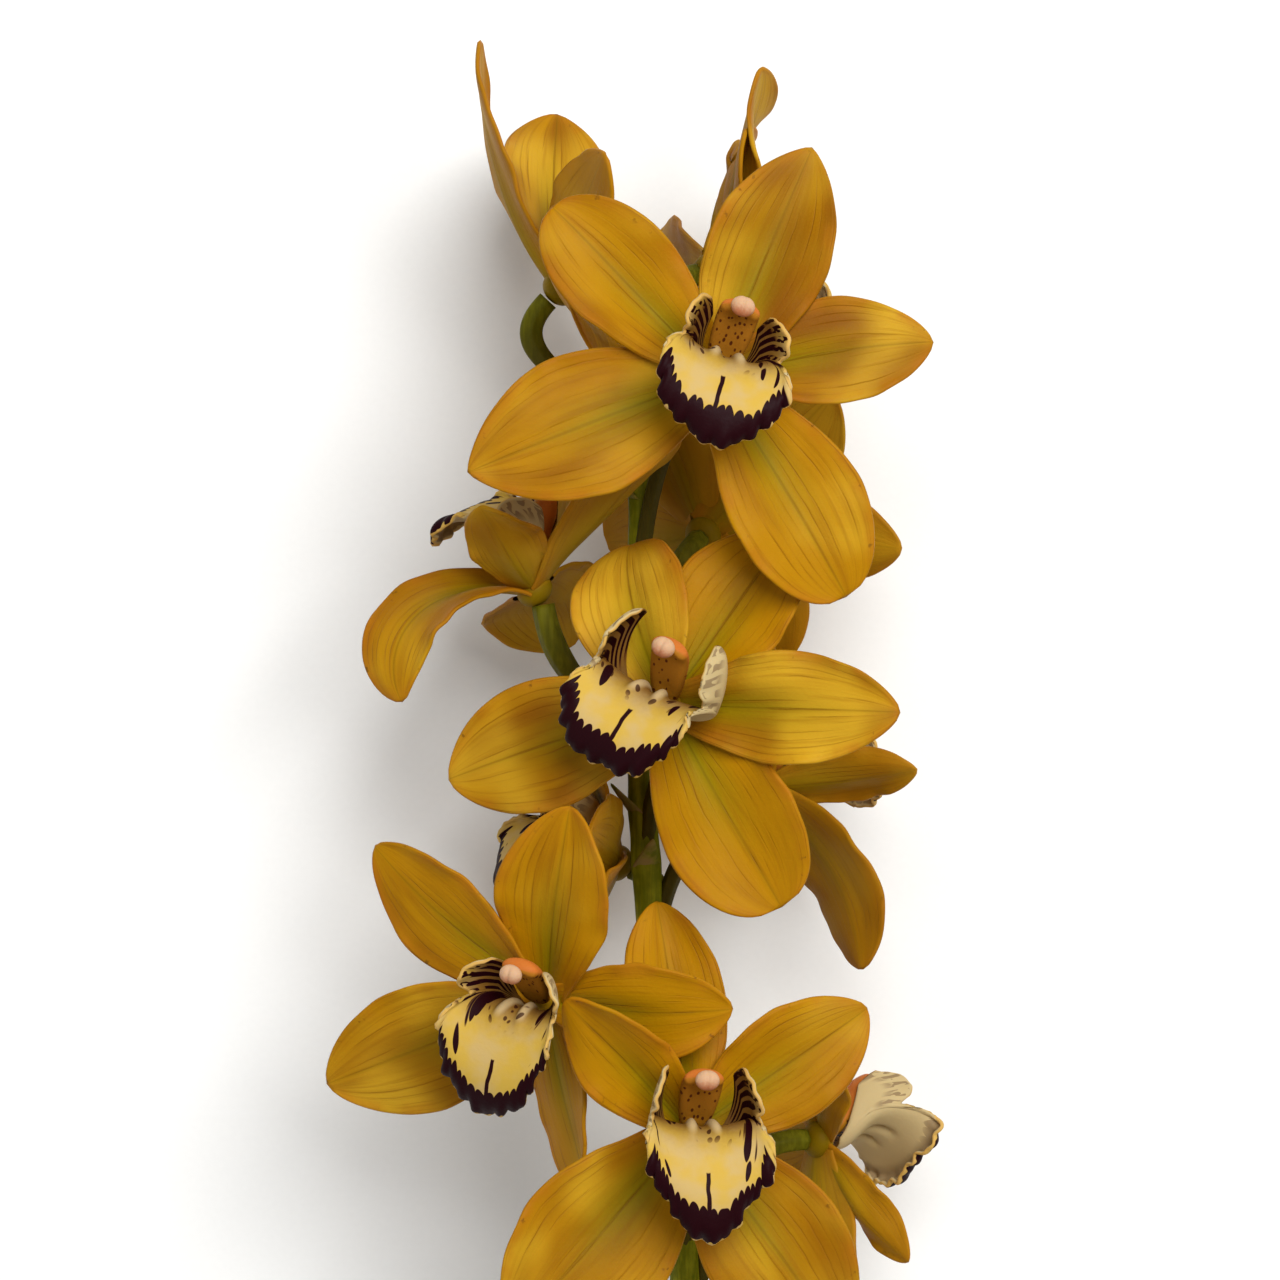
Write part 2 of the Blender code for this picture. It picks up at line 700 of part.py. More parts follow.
def main():
    clear_scene()
    collection = bpy.data.collections.new("cymbidium_stem")
    scraps = bpy.data.collections.new("building")
    bpy.context.scene.collection.children.link(collection)
    bpy.context.scene.collection.children.link(scraps)
    materials = {name: make_material(name, *look) for name, look in MATERIALS.items()}
    make_scape(collection, scraps, materials["scape"])
    for name, bloom in BLOOMS.items():
        make_bloom(name, bloom, collection, scraps, materials)


if __name__ == "__main__":
    main()
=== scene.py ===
"""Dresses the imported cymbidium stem: veined tepals, banded and frilled lips, speckled columns,
a ribbed green scape, and a soft studio seen from straight above.

The shapes follow the same formulas as the solids, at a finer step. Sizes are in millimetres and
angles in degrees until an object is made, in metres.
"""

from dataclasses import dataclass, field, replace

import bpy
import numpy as np
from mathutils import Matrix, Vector

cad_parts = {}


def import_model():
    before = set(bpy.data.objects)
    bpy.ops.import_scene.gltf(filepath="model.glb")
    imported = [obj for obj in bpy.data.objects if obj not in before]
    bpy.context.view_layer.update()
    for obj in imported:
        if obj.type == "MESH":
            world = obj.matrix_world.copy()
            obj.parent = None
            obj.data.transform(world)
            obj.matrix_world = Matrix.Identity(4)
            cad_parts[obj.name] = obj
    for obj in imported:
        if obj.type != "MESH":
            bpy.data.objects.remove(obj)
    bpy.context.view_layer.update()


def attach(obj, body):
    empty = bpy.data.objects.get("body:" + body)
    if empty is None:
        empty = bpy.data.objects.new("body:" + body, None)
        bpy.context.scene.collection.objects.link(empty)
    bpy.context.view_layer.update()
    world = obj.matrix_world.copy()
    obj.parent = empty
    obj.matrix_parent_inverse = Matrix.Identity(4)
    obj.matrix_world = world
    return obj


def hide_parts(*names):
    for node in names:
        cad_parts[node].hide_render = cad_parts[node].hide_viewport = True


MM = 0.001
BODY = "root"
NODE_GAP = 0.3  # what touching pieces keep between them
WELD_STEP = 1e-4  # points nearer than this are one
CROWDING = 0.7  # how far a sheet's points gather at its margins
SEED = 11

# The camera looks straight down on the upper part of the stem.
VIEW_CENTRE = (2.2, 140.4)
VIEW_PLANE = 90.0  # the height of the front blooms
VIEW_WIDTH = 284.16  # what the picture spans there
VIEW_DISTANCE = 2000.0
SENSOR = 36.0

# The studio, in metres and watts.
KEY_LIGHT = ("key", (0.6, 1.0, 2.1), 1.5, 62.0)
FILL_LIGHT = ("fill", (-1.4, -0.6, 1.6), 1.6, 5.0)
LIGHT_TARGET_HEIGHT = 0.05
SKY_STRENGTH = 0.34
FLOOR_HALF = 3.0
FLOOR_GAP = 0.0002  # how far the floor is below the stem

# The scape, from its cut end to its tip: where its middle line runs, and how thick it is.
SCAPE_LINE = (
    (14.0, -276.0, 4.2),
    (15.0, -200.0, 6.5),
    (15.0, -120.0, 17.0),
    (14.0, -50.0, 33.0),
    (11.5, 10.0, 46.0),
    (5.0, 70.0, 51.0),
    (2.0, 125.0, 51.0),
    (2.5, 175.0, 52.0),
    (4.0, 200.0, 53.0),
)
SCAPE_RADIUS = (4.2, 4.0, 3.8, 3.6, 3.4, 3.2, 3.0, 2.6, 2.0)
PEDICEL_RADIUS = (1.9, 1.8, 1.9, 2.3, 2.7, 2.5)
PEDICEL_STEPS = 48
PEDICEL_OUT = 0.5  # how much it already points to its bloom where it leaves the scape
PEDICEL_TURN = 0.45  # the last share of it that turns to face the bloom's way
PEDICEL_SIDES = 30
PEDICEL_RIBS = 6
RIB_DEPTH = 0.05  # as a share of the radius
PEDICEL_FOOT = (0.9, 0.06)  # how much thicker it is at its foot, and over what share of it
PEDICEL_ENDS = ((0.0,), (0.8, 0.0))  # the rings that close it, as shares of its radius
SCAPE_RIBS = 9
SCAPE_RIB_DEPTH = 0.02
SCAPE_SWELL = 0.35  # how much thicker the scape is where a pedicel leaves
SWELL_REACH = 4.0
SWELL_BELOW = 2.0
SCAPE_ENDS = ((0.0, 0.35, 0.7, 0.95), (0.95, 0.6, 0.0))
END_STEP = 1e-3
SCAPE_SAMPLES = 400
SCAPE_STEPS = 260
SCAPE_SIDES = 40
BRACT_LENGTH = 9.0
BRACT_WIDTH = 7.0
BRACT_TAPER = 0.7
BRACT_BELOW = 3.5
BRACT_OUT = 2.4
BRACT_SPREAD = 0.55
BRACT_HUG = 2.0
BRACT_THICKNESS = 0.6
BRACT_GRID = (16, 13)
BRACT_EDGE = 0.5  # over this much of its margin it thins to nothing

# Which part of the scape's piece a point belongs to.
TRUNK = 0.0
PEDICEL = 1.0
BRACT = 2.0

BLADE_THICKNESS = 1.0
BLADE_GRID = (53, 27)  # rows along and columns across
BLADE_SAMPLES = 120
CLAW_START = 1.5
CLAW_EASE = 1.25
TIP_EASE = 1.85
CURL_EASE = 1.3
CUP_EASE = 1.5
EDGE_OFFSET = 2.1
PETAL_LIFT = 0.7
HUB_RADIUS = 4.2
HUB_DEPTH = 3.4
HUB_MARGIN = 5.0  # how far from a margin its colours take it to be
ROUND_EDGE = 0.7  # over this much of the margin a blade thins to nothing
ROW_CROWDING = 1.25  # how much further apart a blade's rows are at its base
MIDRIB_DEPTH = 0.35
MIDRIB_WIDTH = 0.06
VALLEY_DEPTH = 0.9  # the broad fold along its middle
VALLEY_WIDTH = 0.3
UNDULATION = 0.55
FRILL = 0.35

FLOOR = 0.0
FLOOR_BLEND = 2.0

# The lip wraps the throat, spreads into the midlobe, and turns back at its margin.
# Each row is (share of the way out, radius, how far forward, height of its middle and its floor).
LIP_PROFILE = (
    (0.0, 2.6, 4.3, 0.5, -2.0),
    (0.2, 5.6, 7.6, 3.0, -1.4),
    (0.4, 8.8, 13.5, 4.5, 1.8),
    (0.55, 11.4, 18.5, 3.6, 0.2),
    (0.68, 13.6, 21.8, 2.2, -5.0),
    (0.8, 14.8, 23.4, 1.0, -10.7),
    (0.92, 15.6, 22.4, 0.0, -15.8),
    (1.0, 15.8, 19.8, -0.5, -18.4),
)
# How far out the lip reaches, from the middle of the midlobe round to a side lobe's top edge.
LIP_EXTENT = (
    (0.0, 1.0),
    (0.25, 0.98),
    (0.42, 0.95),
    (0.54, 0.9),
    (0.6, 0.74),
    (0.66, 0.52),
    (0.74, 0.6),
    (0.82, 0.63),
    (0.92, 0.58),
    (1.0, 0.46),
)
LIP_ROUND = (60.0, 137.0)  # half the angle that it wraps, at its base and at its side lobes
LIP_OPENING = 0.32  # the share of the way out where it first wraps that far
LIP_RISE = 1.3  # how its upper half stretches from a round funnel
LIP_BULGE = (7.0, 0.27, 0.62)  # how far its sides can swell, where they do most, and to where
LIP_SIDES = (0.3, 0.6)  # how far round the swelling starts, and is full
LIP_THICKNESS = 0.9
LIP_GRID = (57, 191)
LIP_ROW_EASE = 0.85
LIP_FRILL = 0.5
LIP_FRILL_REACH = 3.0  # how far in from the margin the frill goes
LIP_FRILL_WAVES = (1.05, 1.7, 0.45)  # radians for each millimetre along the margin
LIP_ROLL = 0.6  # the slower wave of its margin
LIP_ROLL_REACH = 7.0
LIP_ROLL_WAVE = 0.3
LIP_EDGE = 0.6  # over this much of its margin it thins to nothing
LIP_SIDE_REACH = 30.0
CALLUS_HEIGHT = 1.7
CALLUS_PLACE = 0.12
CALLUS_WIDTH = 0.05
CALLUS_OUT = (0.4, 0.15)  # where along the lip the two ridges are, and half their length

COLUMN_LINE = ((1.0, 3.9), (4.6, 7.6), (8.6, 11.2), (12.0, 14.6), (13.6, 18.6))
COLUMN_HALF_WIDTH = (2.7, 3.9, 4.5, 4.6, 4.2)
COLUMN_HALF_DEPTH = (1.8, 2.0, 2.2, 2.4, 2.4)
COLUMN_BLUNT = 0.6
COLUMN_HOLLOW = 0.62  # how far its underside sinks between its wings
CAP_CENTRE = (0.0, 13.0, 21.2)
CAP_RADII = (2.7, 2.3, 2.0)
CAP_CLEFT = 0.16  # how deep the line down its middle is, as a share of its size
CAP_CLEFT_WIDTH = 0.18
BALL_GRID = (33, 40)


@dataclass(frozen=True)
class Blade:
    """One tepal. Angles are seen from in front of the bloom, clockwise from its top."""

    clock: float
    length: float
    width: float
    lean: tuple = (12.0, -8.0)  # towards the front, at its base and at its tip
    sway: float = 0.0  # how far the clock angle turns on the way to the tip
    twist: tuple = (0.0, 0.0)
    cup: tuple = (18.0, 14.0)  # how far each edge bends forward
    peak: float = 0.53  # where it is widest
    claw: float = 0.36  # its width at the base, as a share of the widest
    point: float = 0.68  # how sharp the tip is
    ripple: float = 0.8
    waves: float = 1.6
    phase: float = 0.0
    lift: float = 0.0


@dataclass(frozen=True)
class Bloom:
    """Where a bloom is, where it faces, and where its dorsal sepal points."""

    centre: tuple
    facing: tuple
    dorsal: tuple
    root: float  # where along the stem its pedicel leaves
    blades: dict = field(default_factory=dict)
    size: float = 1.0
    bow: float = 0.5  # how far the pedicel runs on before it turns
    lip_drop: float = 0.95  # how far the lip's midlobe hangs down
    lip_swing: float = 0.0  # and how far to the right
    lip_taper: float = 0.0  # how much the midlobe narrows on its way down
    lip_cup: float = 0.0  # how much its sides swell behind their margin
    neck: tuple = (0.0, 0.0, 0.0)  # what turns the pedicel's end away from the bloom's back


# The usual five tepals, which a bloom's own entries change.
TEPALS = {
    "dorsal": Blade(0, 54, 29, lean=(16, -4), cup=(22, 18)),
    "petal_left": Blade(-64, 51, 24, lean=(14, -10), lift=PETAL_LIFT),
    "petal_right": Blade(64, 51, 24, lean=(14, -10), lift=PETAL_LIFT),
    "sepal_left": Blade(-132, 55, 30, lean=(8, -12)),
    "sepal_right": Blade(132, 55, 30, lean=(8, -12)),
}

BLOOMS = {
    "bloom_01": Bloom(
        centre=(42.5, 27.0, 44),
        facing=(0.8, -0.02, -0.55),
        dorsal=(-0.6, 0.8, 0.0),
        root=-22,
        lip_drop=0.5,
        blades={
            "dorsal": dict(length=28, width=18, lean=(0, -20)),
            "petal_left": dict(clock=-50, length=32, lean=(-20, -60)),
            "petal_right": dict(clock=66, length=44),
            "sepal_left": dict(clock=-168, length=34, width=14, lean=(16, 28)),
            "sepal_right": dict(clock=148, length=50),
        },
    ),
    "bloom_02": Bloom(
        centre=(13.2, 31.2, 88),
        facing=(0.15, -0.03, 1),
        dorsal=(0.05, 1, 0),
        root=-12,
        lip_drop=1.25,
        lip_swing=2.0,
        lip_taper=0.3,
        lip_cup=0.4,
        blades={
            "dorsal": dict(clock=-10, length=51, width=24, lean=(2, -26)),
            "petal_left": dict(clock=-47, length=42, width=22, twist=(0, 45), lean=(25, -6)),
            "petal_right": dict(clock=52, length=47, width=26),
            "sepal_left": dict(clock=-141, length=58, width=36),
            "sepal_right": dict(clock=141, length=58, width=33),
        },
    ),
    "bloom_03": Bloom(
        centre=(-18.5, 60.5, 87),
        facing=(-0.5, -0.31, 1),
        dorsal=(0.12, 1, 0.3),
        root=22,
        size=0.97,
        lip_drop=1.28,
        lip_swing=-3.2,
        lip_taper=0.25,
        blades={
            "dorsal": dict(clock=5, sway=-6, length=48, lean=(16, -16)),
            "petal_left": dict(clock=-58, length=52, width=24),
            "petal_right": dict(clock=82, length=44, lean=(8, -38)),
            "sepal_left": dict(clock=-122, length=58, lean=(12, 4)),
            "sepal_right": dict(clock=166, length=59, width=22, twist=(0, -60), lean=(-2, -14)),
        },
    ),
    "bloom_04": Bloom(
        centre=(-3, 89.8, 46),
        facing=(-0.85, 0.3, 0.35),
        dorsal=(0.1, 0.98, 0.1),
        root=62,
        blades={
            "dorsal": dict(length=35, lean=(43, 26)),
            "petal_left": dict(length=42),
            "petal_right": dict(clock=80, length=36, lean=(30, 40)),
            "sepal_left": dict(clock=-112, length=56),
            "sepal_right": dict(clock=128, length=40, lean=(20, 30)),
        },
    ),
    "bloom_05": Bloom(
        centre=(30, 107, 41),
        facing=(0.75, 0.5, -0.45),
        dorsal=(-0.45, 0.85, 0.2),
        root=70,
        blades={
            "dorsal": dict(length=40, lean=(20, 30)),
            "petal_left": dict(clock=-104, length=38, width=15, lean=(30, 30)),
            "petal_right": dict(clock=90, length=54, lean=(45, 55)),
            "sepal_left": dict(clock=-158, length=48, width=27, lean=(10, -36), twist=(0, 20)),
            "sepal_right": dict(clock=112, length=42),
        },
    ),
    "bloom_06": Bloom(
        centre=(8.4, 126, 88),
        facing=(-0.32, 0.05, 1),
        dorsal=(0.44, 0.9, 0),
        root=92,
        lip_swing=-2.5,
        lip_cup=1.0,
        blades={
            "dorsal": dict(clock=8, length=47, lean=(0, -34)),
            "petal_left": dict(clock=-43.5, length=43, width=28, lean=(26, -70)),
            "petal_right": dict(clock=67, length=54, width=26, ripple=1.5, waves=2.2),
            "sepal_left": dict(clock=-133, length=53, width=30),
            "sepal_right": dict(clock=124, length=51, width=33, peak=0.58, point=0.42),
        },
    ),
    "bloom_07": Bloom(
        centre=(16.6, 164.4, 42),
        facing=(0.3, 0.35, -0.87),
        dorsal=(0.6, 0.65, 0.47),
        root=125,
        blades={
            "dorsal": dict(length=44, lean=(20, 0)),
            "petal_left": dict(clock=-50, length=45),
            "petal_right": dict(clock=66, length=38),
            "sepal_left": dict(clock=-118, length=38, lean=(20, 10)),
            "sepal_right": dict(clock=151, length=34, lean=(30, 30)),
        },
    ),
    "bloom_08": Bloom(
        centre=(-21.5, 151.5, 60),
        facing=(-0.5, 0.86, 0),
        dorsal=(0.8, 0.5, 0.34),
        root=104,
        lip_drop=0.8,
        neck=(0.35, 0.1, 0.0),
        blades={
            "dorsal": dict(length=50, width=26, lean=(24, 8), twist=(0, 30)),
            "petal_left": dict(clock=-62, length=46, lean=(30, 40)),
            "petal_right": dict(clock=72, length=36, width=18, lean=(30, 45), twist=(0, 30)),
            "sepal_left": dict(clock=-110, length=42, lean=(0, -50)),
            "sepal_right": dict(clock=146, length=49, width=23, lean=(46, -85), twist=(20, 45)),
        },
    ),
    "bloom_09": Bloom(
        centre=(18.8, 198.8, 95),
        facing=(0.1, 0.12, 1),
        dorsal=(0.31, 0.95, 0),
        root=154,
        lip_drop=1.0,
        lip_swing=1.2,
        bow=0.62,
        blades={
            "dorsal": dict(clock=5, length=54, point=0.8),
            "petal_left": dict(clock=-62.6, length=51, width=27, peak=0.6, point=0.5),
            "petal_right": dict(clock=60, sway=8, length=48),
            "sepal_left": dict(clock=-129.4, length=58, width=33, point=0.8),
            "sepal_right": dict(clock=131, length=56, width=31, lean=(8, -20), peak=0.6, point=0.48),
        },
    ),
    "bloom_10": Bloom(
        centre=(18, 224, 44),
        facing=(0.8, 0.2, -0.55),
        dorsal=(0.2, 0.82, 0.5),
        root=188,
        blades={
            "dorsal": dict(clock=0, length=52, width=26, lean=(10, -5), twist=(0, 66)),
            "petal_left": dict(clock=-8, length=41, width=22, lean=(0, -10), twist=(15, 55)),
            "petal_right": dict(clock=34, length=30, width=20, lean=(25, 35), twist=(20, 50)),
            "sepal_left": dict(clock=-135, length=28),
            "sepal_right": dict(clock=128, length=53, lean=(20, 20)),
        },
    ),
    "bloom_11": Bloom(
        centre=(-16, 219.8, 52),
        facing=(0.7, 0.71, 0),
        dorsal=(-0.71, 0.7, 0),
        root=176,
        lip_drop=0.5,
        blades={
            "dorsal": dict(clock=0, length=59, width=22, lean=(12, 50), twist=(-28, 12)),
            "petal_left": dict(clock=-72, length=47, lean=(30, 42), twist=(0, 25)),
            "petal_right": dict(clock=46, length=50, width=30, lean=(30, 40), twist=(0, 50)),
            "sepal_left": dict(clock=-118, length=38, lean=(0, -20)),
            "sepal_right": dict(clock=135, length=44),
        },
    ),
}


def unit(vector):
    vector = np.asarray(vector, float)
    return vector / np.linalg.norm(vector)


def smooth_line(points, share):
    """Points at these shares, 0 to 1, of a smooth curve through all of points."""
    points = np.asarray(points, float)
    points = points.reshape(len(points), -1)
    ends = np.vstack([2 * points[0] - points[1], points, 2 * points[-1] - points[-2]])
    place = np.clip(np.asarray(share, float), 0, 1) * (len(points) - 1)
    first = np.minimum(place.astype(int), len(points) - 2)
    t = (place - first)[:, None]
    a, b, c, d = (ends[first + i] for i in range(4))
    square = (2 * a - 5 * b + 4 * c - d) * t**2
    cube = (3 * b - a - 3 * c + d) * t**3
    return 0.5 * (2 * b + (c - a) * t + square + cube)


def bloom_axes(bloom):
    """The bloom's right, up and forward directions as its viewer sees them, as columns."""
    forward = unit(bloom.facing)
    dorsal = np.asarray(bloom.dorsal, float)
    up = unit(dorsal - (dorsal @ forward) * forward)
    return np.column_stack([np.cross(up, forward), up, forward])


def to_stem(bloom, points):
    """Points of a bloom's own frame, in the stem's frame."""
    return np.asarray(bloom.centre) + bloom.size * points @ bloom_axes(bloom).T


def above_floor(points, rest):
    """Bends what would sink into the surface so that it lies on it, at the height rest."""
    over = points[:, 2] - FLOOR - rest
    near = np.clip(over + FLOOR_BLEND, 0, 2 * FLOOR_BLEND)
    bent = points.copy()
    bent[:, 2] = FLOOR + rest + np.where(over > FLOOR_BLEND, over, near**2 / (4 * FLOOR_BLEND))
    return bent


def half_width(blade, u):
    """Half the blade's width at u: a narrow claw, its widest place, then a rounded point."""
    rise = np.sin(0.5 * np.pi * np.clip(u / blade.peak, 0, 1)) ** CLAW_EASE
    past = np.clip((u - blade.peak) / (1 - blade.peak), 0, 1)
    fall = (1 - past**TIP_EASE) ** blade.point
    share = np.where(u < blade.peak, blade.claw + (1 - blade.claw) * rise, fall)
    return 0.5 * blade.width * share


def blade_frame(blade, u):
    """Points of the blade's middle line at u, its sideways and its facing directions there."""
    share = np.linspace(0, 1, BLADE_SAMPLES + 1)
    lean = np.radians(np.interp(share**CURL_EASE, (0, 1), blade.lean))
    clock = np.radians(blade.clock + blade.sway * share**CURL_EASE)
    level = np.zeros_like(clock)
    flat = np.column_stack([np.sin(clock), np.cos(clock), level])
    side = np.column_stack([np.cos(clock), -np.sin(clock), level])
    front = np.array([0.0, 0.0, 1.0])
    along = np.cos(lean)[:, None] * flat + np.sin(lean)[:, None] * front
    step = 0.5 * (along[1:] + along[:-1]) * blade.length / BLADE_SAMPLES
    line = np.vstack([np.zeros(3), np.cumsum(step, axis=0)])
    line += CLAW_START * flat[0] + blade.lift * front

    def at(values):
        return np.column_stack([np.interp(u, share, column) for column in values.T])

    side, face = at(side), at(np.cross(side, along))
    turn = np.radians(np.interp(u, (0, 1), blade.twist))[:, None]
    turned = np.cos(turn) * side + np.sin(turn) * face
    return at(line), turned, np.cos(turn) * face - np.sin(turn) * side


def blade_points(blade, u, v):
    """The blade's middle surface in its bloom's frame: u from base to tip, v from -1 to 1."""
    middle, side, face = blade_frame(blade, u)
    half = half_width(blade, u)
    bend = np.radians(np.interp(u**CUP_EASE, (0, 1), blade.cup))
    across = half * np.sin(bend * v) / bend
    rise = half * (1 - np.cos(bend * v)) / bend
    behind = np.where(v < 0, EDGE_OFFSET, 0.0)
    wave = np.sin(2 * np.pi * (blade.waves * u + blade.phase) + behind)
    rise = rise + blade.ripple * v**2 * wave * np.sqrt(np.sin(np.pi * np.clip(u, 0, 1)))
    return middle + across[:, None] * side + rise[:, None] * face


def blades_of(bloom):
    """The bloom's five tepals, the usual ones with this bloom's own changes."""
    return {name: replace(usual, **bloom.blades.get(name, {})) for name, usual in TEPALS.items()}


def pedicel_line(bloom):
    """The pedicel's middle line, from inside the scape to just behind the bloom."""
    scape = smooth_line(SCAPE_LINE, np.linspace(0, 1, SCAPE_SAMPLES))
    start = scape[np.argmin(np.abs(scape[:, 1] - bloom.root))]
    forward = unit(bloom.facing)
    end = np.asarray(bloom.centre) - forward * bloom.size * (HUB_DEPTH + NODE_GAP)
    reach = np.linalg.norm(end - start)
    leave = unit(np.array([0.0, 1.0, 0.0]) + PEDICEL_OUT * unit(end - start))
    first = start + leave * reach * bloom.bow
    second = end - unit(forward + bloom.neck) * reach * PEDICEL_TURN
    t = np.linspace(0, 1, PEDICEL_STEPS + 1)[:, None]
    s = 1 - t
    return s**3 * start + 3 * s**2 * t * first + 3 * s * t**2 * second + t**3 * end


def bract_points(bloom, u, v):
    """The small leaf under a pedicel, as a sheet that hugs the pedicel's underside."""
    line = pedicel_line(bloom)
    ahead = unit(line[1] - line[0])
    out = unit(np.array([ahead[0], 0.0, ahead[2]]))
    side = np.cross(ahead, out)
    rise = unit(ahead + BRACT_SPREAD * out)
    half = 0.5 * BRACT_WIDTH * (1 - u) ** BRACT_TAPER
    start = line[0] - BRACT_BELOW * np.array([0.0, 1.0, 0.0]) + BRACT_OUT * out
    points = start + BRACT_LENGTH * u[:, None] * rise + (half * v)[:, None] * side
    return points - (BRACT_HUG * v**2 * (1 - u))[:, None] * out


class Shape:
    """Points, faces, and named values at each point, for one closed shell."""

    def __init__(self, points, faces, **fields):
        self.points = points
        self.faces = faces
        self.fields = fields


def grid_faces(rows, columns, offset=0):
    corner = np.arange(rows * columns).reshape(rows, columns) + offset
    quads = (corner[:-1, :-1], corner[1:, :-1], corner[1:, 1:], corner[:-1, 1:])
    return np.stack(quads, axis=-1).reshape(-1, 4)


def welded(shape):
    """The shape with points that coincide made one, and the faces that vanish left out."""
    keys = np.round(shape.points / WELD_STEP).astype(np.int64)
    _, first, index = np.unique(keys, axis=0, return_index=True, return_inverse=True)
    corners = (tuple(dict.fromkeys(face)) for face in index.reshape(-1)[shape.faces].tolist())
    faces = [face for face in corners if len(face) > 2]
    fields = {name: value[first] for name, value in shape.fields.items()}
    return Shape(shape.points[first], faces, **fields)


def surface_normals(middle):
    """Unit normals of a grid of points."""
    down = np.gradient(middle, axis=0)
    across = np.gradient(middle, axis=1)
    normal = np.cross(down, across)
    return normal / np.maximum(np.linalg.norm(normal, axis=2), 1e-9)[:, :, None]


def closed_sheet(middle, thickness, **fields):
    """A grid thickened to both sides, that thins to nothing at its four edges."""
    rows, columns = middle.shape[:2]
    half = 0.5 * thickness[:, :, None] * surface_normals(middle)
    points = np.concatenate([(middle + half).reshape(-1, 3), (middle - half).reshape(-1, 3)])
    upper = grid_faces(rows, columns)
    lower = grid_faces(rows, columns, rows * columns)[:, ::-1]
    side = np.repeat([1.0, -1.0], rows * columns)
    doubled = {name: np.tile(value.reshape(-1), 2) for name, value in fields.items()}
    return welded(Shape(points, np.concatenate([upper, lower]), side=side, **doubled))


def ball_shape(surface, **fields):
    """A unit ball whose points are moved by surface(points)."""
    rise = np.linspace(-0.5 * np.pi, 0.5 * np.pi, BALL_GRID[0])
    turn = np.linspace(0, 2 * np.pi, BALL_GRID[1] + 1)
    rise, turn = np.meshgrid(rise, turn, indexing="ij")
    ring = np.cos(rise)
    ring[[0, -1]] = 0
    points = np.stack([ring * np.cos(turn), ring * np.sin(turn), np.sin(rise)], axis=2)
    points[:, -1] = points[:, 0]
    points = points.reshape(-1, 3)
    values = {name: function(points) for name, function in fields.items()}
    return welded(Shape(surface(points), grid_faces(*rise.shape)[:, ::-1], **values))


def tube_shape(line, radii, sides, wave=None, **fields):
    """A closed tube along a line, whose radius at (share, angle) is scaled by wave."""
    ahead = np.gradient(line, axis=0)
    ahead /= np.linalg.norm(ahead, axis=1)[:, None]
    side = np.cross(ahead, [0.0, 0.0, 1.0])
    side = side / np.maximum(np.linalg.norm(side, axis=1), 1e-9)[:, None]
    up = np.cross(side, ahead)
    turn = np.linspace(0, 2 * np.pi, sides + 1)
    turn[-1] = 0
    share = np.linspace(0, 1, len(line))
    scale = np.ones((len(line), sides + 1)) if wave is None else wave(share[:, None], turn[None, :])
    ring = side[:, None] * np.cos(turn)[None, :, None] + up[:, None] * np.sin(turn)[None, :, None]
    points = line[:, None] + (radii[:, None] * scale)[:, :, None] * ring
    values = {
        name: np.broadcast_to(np.asarray(value)[:, None], scale.shape).reshape(-1)
        for name, value in fields.items()
    }
    faces = grid_faces(len(line), sides + 1)
    return welded(Shape(points.reshape(-1, 3), faces, **values))


def add_object(name, data):
    item = bpy.data.objects.new(name, data)
    bpy.context.scene.collection.objects.link(item)
    return item


def make_piece(name, shapes, material, node):
    """One object from several shells, which stands for a node of the frame."""
    points = np.concatenate([shape.points for shape in shapes]) * MM
    faces = []
    start = 0
    for shape in shapes:
        faces += [[corner + start for corner in face] for face in shape.faces]
        start += len(shape.points)
    mesh = bpy.data.meshes.new(name)
    mesh.from_pydata(points.tolist(), [], faces)
    for key in shapes[0].fields:
        values = np.concatenate([shape.fields[key] for shape in shapes])
        mesh.attributes.new(key, "FLOAT", "POINT").data.foreach_set("value", values.astype(np.float32))
    mesh.materials.append(material)
    mesh.shade_smooth()
    piece = add_object(name, mesh)
    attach(piece, BODY)
    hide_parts(node)
    return piece


def spread(count):
    """Values from -1 to 1, nearer together at both ends."""
    even = np.linspace(-1, 1, count)
    return (1 - CROWDING) * even + CROWDING * np.sin(0.5 * np.pi * even)


def rounded(distance, reach):
    """From 0 at the margin to 1 past reach, as a round edge rises."""
    near = np.clip(1 - distance / reach, 0, 1)
    return np.sqrt(1 - near**2)


